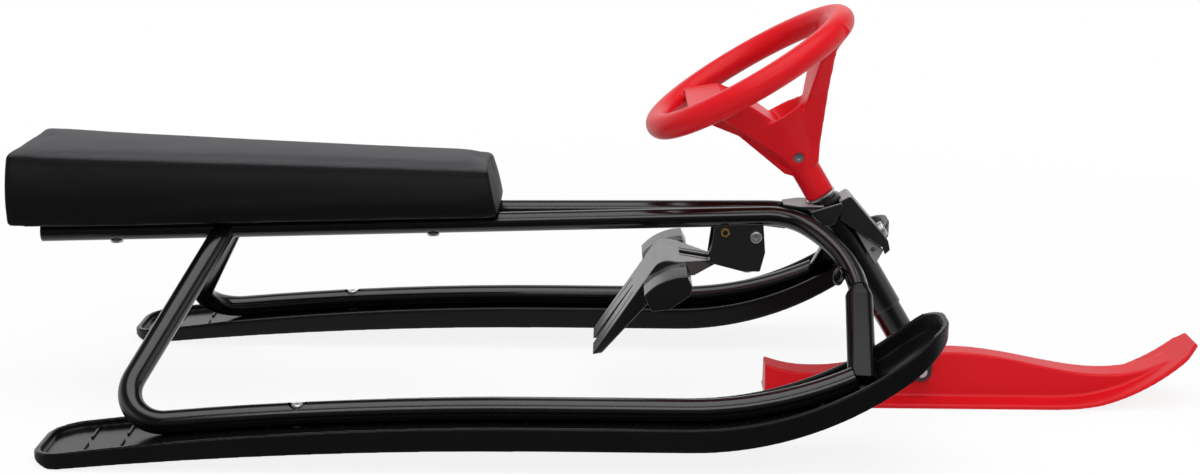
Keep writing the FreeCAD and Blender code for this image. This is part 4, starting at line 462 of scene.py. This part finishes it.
def cut(piece):
    """Cuts the active object out of a piece, and removes it."""
    tool = bpy.context.active_object
    apply(piece, "BOOLEAN", operation="DIFFERENCE", solver="EXACT", object=tool)
    bpy.data.objects.remove(tool)


def hex_recess(piece, centre):
    """Cuts a hex recess into a head that faces the rider's right."""
    bpy.ops.object.select_all(action="DESELECT")
    bpy.ops.mesh.primitive_cylinder_add(vertices=6, radius=HEX_RADIUS, depth=2 * HEX_DEPTH,
                                        location=centre, rotation=(math.pi / 2, 0, 0))
    cut(piece)


def cross_recess(piece, centre):
    """Cuts a cross recess into a head that faces the rider's right."""
    for across, tall in ((CROSS_LENGTH, CROSS_WIDTH), (CROSS_WIDTH, CROSS_LENGTH)):
        bpy.ops.object.select_all(action="DESELECT")
        bpy.ops.mesh.primitive_cube_add(size=1, location=centre)
        bpy.context.active_object.scale = (across, 2 * CROSS_DEPTH, tall)
        bpy.ops.object.transform_apply(location=False, rotation=False, scale=True)
        cut(piece)


def mark_up(piece):
    """Stores how far each point of a piece looks up, where some finishes paint a paler sheen."""
    looks = piece.data.attributes.new("looks_up", "FLOAT", "POINT")
    looks.data.foreach_set("value", [max(0.0, vertex.normal.z) for vertex in piece.data.vertices])


def finish_piece(piece, node, material):
    """Gives a piece its finish, and puts it in the place of its node on the node's body."""
    piece.data.materials.clear()
    piece.data.materials.append(material)
    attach(piece, NODES[node]["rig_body"])
    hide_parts(node)


def paint(material, *names):
    """Gives CAD nodes that keep their shape a finish."""
    for name in names:
        slots = NODES[name].material_slots
        if not slots:
            NODES[name].data.materials.append(material)
        for slot in slots:
            slot.link = "OBJECT"
            slot.material = material


def colours():
    """The colours that a user may have changed."""
    return bpy.context.scene.sled_colours


def sizes():
    """The sizes that a user may have changed."""
    return bpy.context.scene.sled_sizes


# Pieces


class SLED_OT_seat(Operator):
    """Makes the padded seat: a filled cover over a board"""
    bl_idname = "sled.seat"
    bl_label = "Seat"

    def execute(self, context):
        size = sizes()
        pad = copy_of("seat_cushion", "seat_pad")
        apply(pad, "REMESH", mode="VOXEL", voxel_size=size.seat_mesh, adaptivity=0.0)
        held = self.hold(pad)
        apply(pad, "SMOOTH", factor=PASS_FACTOR, iterations=PASSES["seat"], vertex_group="cover")
        home = [vertex.co.copy() for vertex in pad.data.vertices]
        # The filling swells the cover, so the cover starts smaller.
        smaller = [vertex.co - vertex.normal * START_SMALLER * size.seat_swell
                   for vertex in pad.data.vertices]
        for vertex, spot in zip(pad.data.vertices, smaller):
            if vertex.index not in held:
                vertex.co = spot
        self.fill(context, pad)
        moves = self.settle(pad, home, held)
        bpy.data.objects.remove(pad)
        pad = self.carry(home, moves)
        mark_up(pad)
        finish_piece(pad, "seat_cushion", seat_cover(colours()))
        paint(board_film(colours()), "seat_board")
        return {"FINISHED"}

    def hold(self, pad):
        """The vertices that lie against the board; the rest of the cover is free to swell."""
        low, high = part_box("seat_board")
        cover = pad.vertex_groups.new(name="cover")
        pinned = pad.vertex_groups.new(name="pinned")
        held = set()
        for vertex in pad.data.vertices:
            spot = vertex.co
            along = low.x - BOARD_PLAY < spot.x < high.x + BOARD_PLAY
            across = low.y - BOARD_PLAY < spot.y < high.y + BOARD_PLAY
            if along and across and spot.z < high.z + BOARD_PLAY:
                held.add(vertex.index)
                pinned.add([vertex.index], 1.0, "REPLACE")
            else:
                cover.add([vertex.index], 1.0, "REPLACE")
        return held

    def fill(self, context, pad):
        """Swells the cover like cloth under pressure."""
        only(pad)
        cloth = pad.modifiers.new("filling", "CLOTH")
        cloth.settings.use_pressure = True
        cloth.settings.uniform_pressure_force = FILLING_PRESSURE
        cloth.settings.effector_weights.gravity = 0
        cloth.settings.vertex_group_mass = "pinned"
        cloth.settings.quality = CLOTH_QUALITY
        for step in range(1, sizes().seat_steps + 1):
            context.scene.frame_set(step)
        bpy.ops.object.modifier_apply(modifier="filling")
        context.scene.frame_set(1)

    def settle(self, pad, home, held):
        """Evens out how far the cover has moved, and keeps that within the swell."""
        beside = [[] for _ in home]
        for edge in pad.data.edges:
            one, other = edge.vertices
            beside[one].append(other)
            beside[other].append(one)
        moves = [vertex.co - spot for vertex, spot in zip(pad.data.vertices, home)]
        for _ in range(SETTLE_PASSES):
            moves = [Vector() if i in held
                     else sum((moves[j] for j in beside[i]), moves[i]) / (len(beside[i]) + 1)
                     for i in range(len(moves))]
        limit = sizes().seat_swell
        return [move * min(1.0, limit / max(move.length, 1e-9)) for move in moves]

    def carry(self, home, moves):
        """Moves a finer cover, with its tight edges, as the filled one has moved."""
        pad = moulded("seat_cushion", "seat_pad", sizes().cover_mesh, PASSES["cover"])
        tree = KDTree(len(home))
        for index, spot in enumerate(home):
            tree.insert(spot, index)
        tree.balance()
        for vertex in pad.data.vertices:
            near = [(1 / (away + CARRY_BLUR), moves[index])
                    for _, index, away in tree.find_n(vertex.co, CARRIED_BY)]
            total = sum(weight for weight, _ in near)
            vertex.co += sum((move * weight for weight, move in near), Vector()) / total
        return pad


class SLED_OT_wheel(Operator):
    """Makes the steering wheel as one moulding"""
    bl_idname = "sled.wheel"
    bl_label = "Steering wheel"

    def execute(self, context):
        wheel = moulded("steering_wheel", "wheel_moulding", sizes().wheel_mesh, PASSES["wheel"])
        finish_piece(wheel, "steering_wheel", red_moulding(colours()))
        return {"FINISHED"}


class SLED_OT_ski(Operator):
    """Makes the front ski as one moulding"""
    bl_idname = "sled.ski"
    bl_label = "Front ski"

    def execute(self, context):
        ski = moulded("front_ski", "ski_moulding", sizes().ski_mesh, PASSES["ski"])
        finish_piece(ski, "front_ski", bpy.data.materials["hdpe_red_moulded"])
        return {"FINISHED"}


class SLED_OT_runners(Operator):
    """Makes the two runners with their rims"""
    bl_idname = "sled.runners"
    bl_label = "Runners"

    def execute(self, context):
        plastic = runner_plastic(colours())
        for side in ("right", "left"):
            runner = moulded(side + "_runner", side + "_runner_moulding", sizes().runner_mesh,
                             PASSES["runner"])
            apply(runner, "DECIMATE", ratio=RUNNER_KEPT)
            bpy.ops.object.shade_smooth()
            cross_ribs(runner, side + "_runner")
            mark_up(runner)
            finish_piece(runner, side + "_runner", plastic)
        return {"FINISHED"}


class SLED_OT_tubes(Operator):
    """Finishes the tubes of the frame"""
    bl_idname = "sled.tubes"
    bl_label = "Tubes"

    def execute(self, context):
        coat = tube_coat(colours(), "powder_coat_gloss_black", TUBE_SHINE)
        pressed = tube_coat(colours(), "powder_coat_pressed_tube", PRESSED_SHINE)
        nodes = [side + part for side in ("right_", "left_")
                 for part in ("top_rail", "runner_rail", "rope_eye")]
        for node in nodes + ["head_tube", "ski_fork"]:
            finish_piece(smooth_copy(node, node + "_tube"), node, coat)
        for node in ("right_front_leg", "left_front_leg"):
            leg = moulded(node, node + "_tube", LEG_MESH, PASSES["leg"])
            finish_piece(leg, node, pressed)
        paint(coat, "steering_column")
        return {"FINISHED"}


class SLED_OT_head(Operator):
    """Finishes the plates of the steering head"""
    bl_idname = "sled.head"
    bl_label = "Steering head"

    def execute(self, context):
        # The plates' tops get the pale painted sheen.
        coat = plate_coat("powder_coat_satin_black", colours().plate, colours().painted_sheen)
        # The lower gussets are grey all over, a painted reflection.
        painted_reflection_coat = plate_coat("powder_coat_satin_painted_reflection", colours().gusset_painted_reflection, colours().gusset_painted_reflection)
        for node in ("head_front_shield", "head_top_plate", "right_upper_gusset", "left_upper_gusset",
                     "right_lower_gusset", "left_lower_gusset"):
            plate = moulded(node, node + "_plate", sizes().plate_mesh, PASSES["plate"])
            mark_up(plate)
            finish_piece(plate, node, painted_reflection_coat if "lower" in node else coat)
        return {"FINISHED"}


class SLED_OT_brake(Operator):
    """Makes the brake lever, its pegs and the bracket"""
    bl_idname = "sled.brake"
    bl_label = "Brake"

    def execute(self, context):
        nylon = lever_nylon(colours())
        lever = moulded("brake_lever", "brake_lever_moulding", LEVER_MESH, PASSES["lever"])
        mark_up(lever)
        finish_piece(lever, "brake_lever", nylon)
        for side in ("right", "left"):
            peg = moulded(side + "_foot_peg", side + "_peg_moulding", PEG_MESH, PASSES["peg"])
            finish_piece(peg, side + "_foot_peg", nylon)
        bracket = moulded("brake_bracket", "brake_bracket_plate", sizes().plate_mesh, PASSES["plate"])
        coat = bpy.data.materials["powder_coat_satin_black"]
        finish_piece(bracket, "brake_bracket", coat)
        paint(nylon, "brake_bush", "brake_stop_pin", "rail_end_plugs", "upper_steering_bush",
              "lower_steering_bush", "thrust_collar")
        return {"FINISHED"}


class SLED_OT_fasteners(Operator):
    """Finishes bolts, nuts, washers and the spring"""
    bl_idname = "sled.fasteners"
    bl_label = "Fasteners"

    def execute(self, context):
        zinc = plated("zinc_plated_steel", 0xD2D3D6, 0.4)
        paint(zinc, "column_washer", "wheel_clamp_nut", "ski_pivot_bolt", "ski_pivot_nut",
              "ski_pivot_sleeve", "foot_peg_rod", "runner_screws", "seat_bolts", "seat_tee_nuts",
              "head_front_bolt", "brake_pivot_nut", "spring_anchor_bolt", "brake_spring")
        screw = smooth_copy("wheel_clamp_screw", "clamp_screw")
        hex_recess(screw, right_face("wheel_clamp_screw"))
        finish_piece(screw, "wheel_clamp_screw", zinc)
        bolt = smooth_copy("brake_pivot_bolt", "pivot_bolt")
        cross_recess(bolt, right_face("brake_pivot_bolt"))
        finish_piece(bolt, "brake_pivot_bolt", zinc)
        paint(plated("brass_plain", 0xD8B068, 0.48), "brake_stop_nuts")
        return {"FINISHED"}


class SLED_OT_stage(Operator):
    """Makes the floor, the light and the camera"""
    bl_idname = "sled.stage"
    bl_label = "Stage"

    def execute(self, context):
        scene = context.scene
        bpy.ops.object.select_all(action="DESELECT")
        bpy.ops.mesh.primitive_plane_add(size=FLOOR_SIZE, location=(0, 0, -FLOOR_DROP))
        floor = context.active_object
        floor.name = "studio_floor"
        floor.data.materials.append(self.floor_paint())
        self.world(scene)
        self.lamps()
        self.camera(scene)
        scene.view_settings.view_transform = "Standard"
        return {"FINISHED"}

    def floor_paint(self):
        # Matt white paint: seen directly it is as white as the backdrop, and it keeps the soft shadow.
        material, tree, shader, place = start("floor_white_matt")
        shader.inputs["Base Color"].default_value = (*colours().floor, 1)
        shader.inputs["Roughness"].default_value = 0.9
        shader.inputs["Specular IOR Level"].default_value = 0.0
        rays = add(tree, "ShaderNodeLightPath").outputs
        seen, mirrored = rays["Is Camera Ray"], rays["Is Glossy Ray"]
        away = add(tree, "ShaderNodeVectorMath", {"operation": "LENGTH"}, i0=place).outputs["Value"]
        share = add(tree, "ShaderNodeMapRange", {"interpolation_type": "SMOOTHSTEP"}, Value=away,
                    From_Min=0.5, From_Max=1.6, To_Min=0.87, To_Max=1.0).outputs[0]
        share = add(tree, "ShaderNodeMath", {"operation": "MULTIPLY"}, i0=seen, i1=share).outputs[0]
        share = add(tree, "ShaderNodeMath", {"operation": "MAXIMUM"}, i0=share, i1=mirrored).outputs[0]
        # In gloss the white ends at the rider's right, where the unlit part of the studio begins.
        depth = add(tree, "ShaderNodeSeparateXYZ", Vector=place).outputs["Y"]
        lit = add(tree, "ShaderNodeMapRange", {"interpolation_type": "SMOOTHSTEP"}, Value=depth,
                  From_Min=-0.4, From_Max=0.05, To_Min=0.06, To_Max=1.0).outputs[0]
        level = add(tree, "ShaderNodeMath", {"operation": "MAXIMUM"}, i0=seen, i1=lit).outputs[0]
        glow = add(tree, "ShaderNodeEmission", Color=(1, 1, 1, 1), Strength=level).outputs[0]
        mix = add(tree, "ShaderNodeMixShader", i0=share, i1=shader.outputs[0], i2=glow).outputs[0]
        tree.links.new(mix, tree.nodes["Material Output"].inputs["Surface"])
        return material

    def world(self, scene):
        # White walls that gloss shows too, with a dim ceiling and a dim wall at the rider's right.
        world = bpy.data.worlds.new("studio_world")
        scene.world = world
        world.use_nodes = True
        tree = world.node_tree
        back = tree.nodes["Background"]
        rays = add(tree, "ShaderNodeLightPath").outputs
        direct = rays["Is Camera Ray"]
        seen = add(tree, "ShaderNodeMath", {"operation": "MAXIMUM"}, i0=rays["Is Glossy Ray"],
                   i1=rays["Is Transmission Ray"]).outputs[0]
        seen = add(tree, "ShaderNodeMath", {"operation": "MAXIMUM"}, i0=seen, i1=direct).outputs[0]
        toward = add(tree, "ShaderNodeTexCoord").outputs["Generated"]
        parts = add(tree, "ShaderNodeSeparateXYZ", Vector=toward).outputs
        wall = add(tree, "ShaderNodeMapRange", {"interpolation_type": "SMOOTHSTEP"}, Value=parts["Z"],
                   From_Min=0.2, From_Max=0.6, To_Min=1.0, To_Max=0.15).outputs[0]
        behind = add(tree, "ShaderNodeMapRange", {"interpolation_type": "SMOOTHSTEP"}, Value=parts["Y"],
                     From_Min=-0.8, From_Max=-0.2, To_Min=0.12, To_Max=1.0).outputs[0]
        wall = add(tree, "ShaderNodeMath", {"operation": "MULTIPLY"}, i0=wall, i1=behind).outputs[0]
        wall = add(tree, "ShaderNodeMath", {"operation": "MAXIMUM"}, i0=wall, i1=direct).outputs[0]
        strength = add(tree, "ShaderNodeMix", i0=seen, A=0.35, B=wall).outputs[0]
        tree.links.new(strength, back.inputs["Strength"])
        back.inputs["Color"].default_value = (1, 1, 1, 1)

    def lamps(self):
        # Wide soft boxes overhead and at the rider's right and left draw broad streaks on the tubes.
        for name, place, width, depth, power in LAMPS:
            lamp = bpy.data.lights.new(name, "AREA")
            lamp.shape = "RECTANGLE"
            lamp.size = width
            lamp.size_y = depth
            lamp.energy = power
            holder = bpy.data.objects.new(name, lamp)
            bpy.context.scene.collection.objects.link(holder)
            holder.location = place
            beam = Vector(LAMP_AIM) - Vector(place)
            holder.rotation_euler = beam.to_track_quat("-Z", "Y").to_euler()

    def camera(self, scene):
        # A long lens at the rider's right, a little above the seat and turned by half a degree.
        data = bpy.data.cameras.new("camera")
        data.sensor_width = SENSOR_WIDTH
        data.lens = LENS
        data.clip_start = 0.05
        data.clip_end = 200
        holder = bpy.data.objects.new("camera", data)
        scene.collection.objects.link(holder)
        turn = Matrix((CAMERA_RIGHT, CAMERA_UP, CAMERA_BACK)).transposed()
        holder.matrix_world = Matrix.Translation(CAMERA_PLACE) @ turn.to_4x4()
        scene.camera = holder


class SLED_PT_panel(Panel):
    """Lists the pieces of the sled"""
    bl_idname = "SLED_PT_panel"
    bl_label = "Steering sled"
    bl_space_type = "VIEW_3D"
    bl_region_type = "UI"
    bl_category = "Sled"

    def draw(self, context):
        for group in (context.scene.sled_colours, context.scene.sled_sizes):
            for key in group.bl_rna.properties.keys():
                if key not in ("rna_type", "name"):
                    self.layout.prop(group, key)
        for operator in OPERATORS:
            self.layout.operator(operator.bl_idname)


OPERATORS = (SLED_OT_wheel, SLED_OT_ski, SLED_OT_runners, SLED_OT_tubes, SLED_OT_head, SLED_OT_brake,
             SLED_OT_fasteners, SLED_OT_seat, SLED_OT_stage)
CLASSES = (SledColours, SledSizes) + OPERATORS + (SLED_PT_panel,)


def register():
    """Registers the classes, and gives each scene its colours and sizes."""
    for cls in CLASSES:
        bpy.utils.register_class(cls)
    bpy.types.Scene.sled_colours = PointerProperty(type=SledColours)
    bpy.types.Scene.sled_sizes = PointerProperty(type=SledSizes)


def unregister():
    """Takes away what register added."""
    del bpy.types.Scene.sled_sizes
    del bpy.types.Scene.sled_colours
    for cls in reversed(CLASSES):
        bpy.utils.unregister_class(cls)


def main():
    """Makes the pieces and the stage in order."""
    register()
    bpy.ops.sled.wheel()
    bpy.ops.sled.ski()
    bpy.ops.sled.runners()
    bpy.ops.sled.tubes()
    bpy.ops.sled.head()
    bpy.ops.sled.brake()
    bpy.ops.sled.fasteners()
    bpy.ops.sled.seat()
    bpy.ops.sled.stage()


if __name__ == "__main__":
    main()
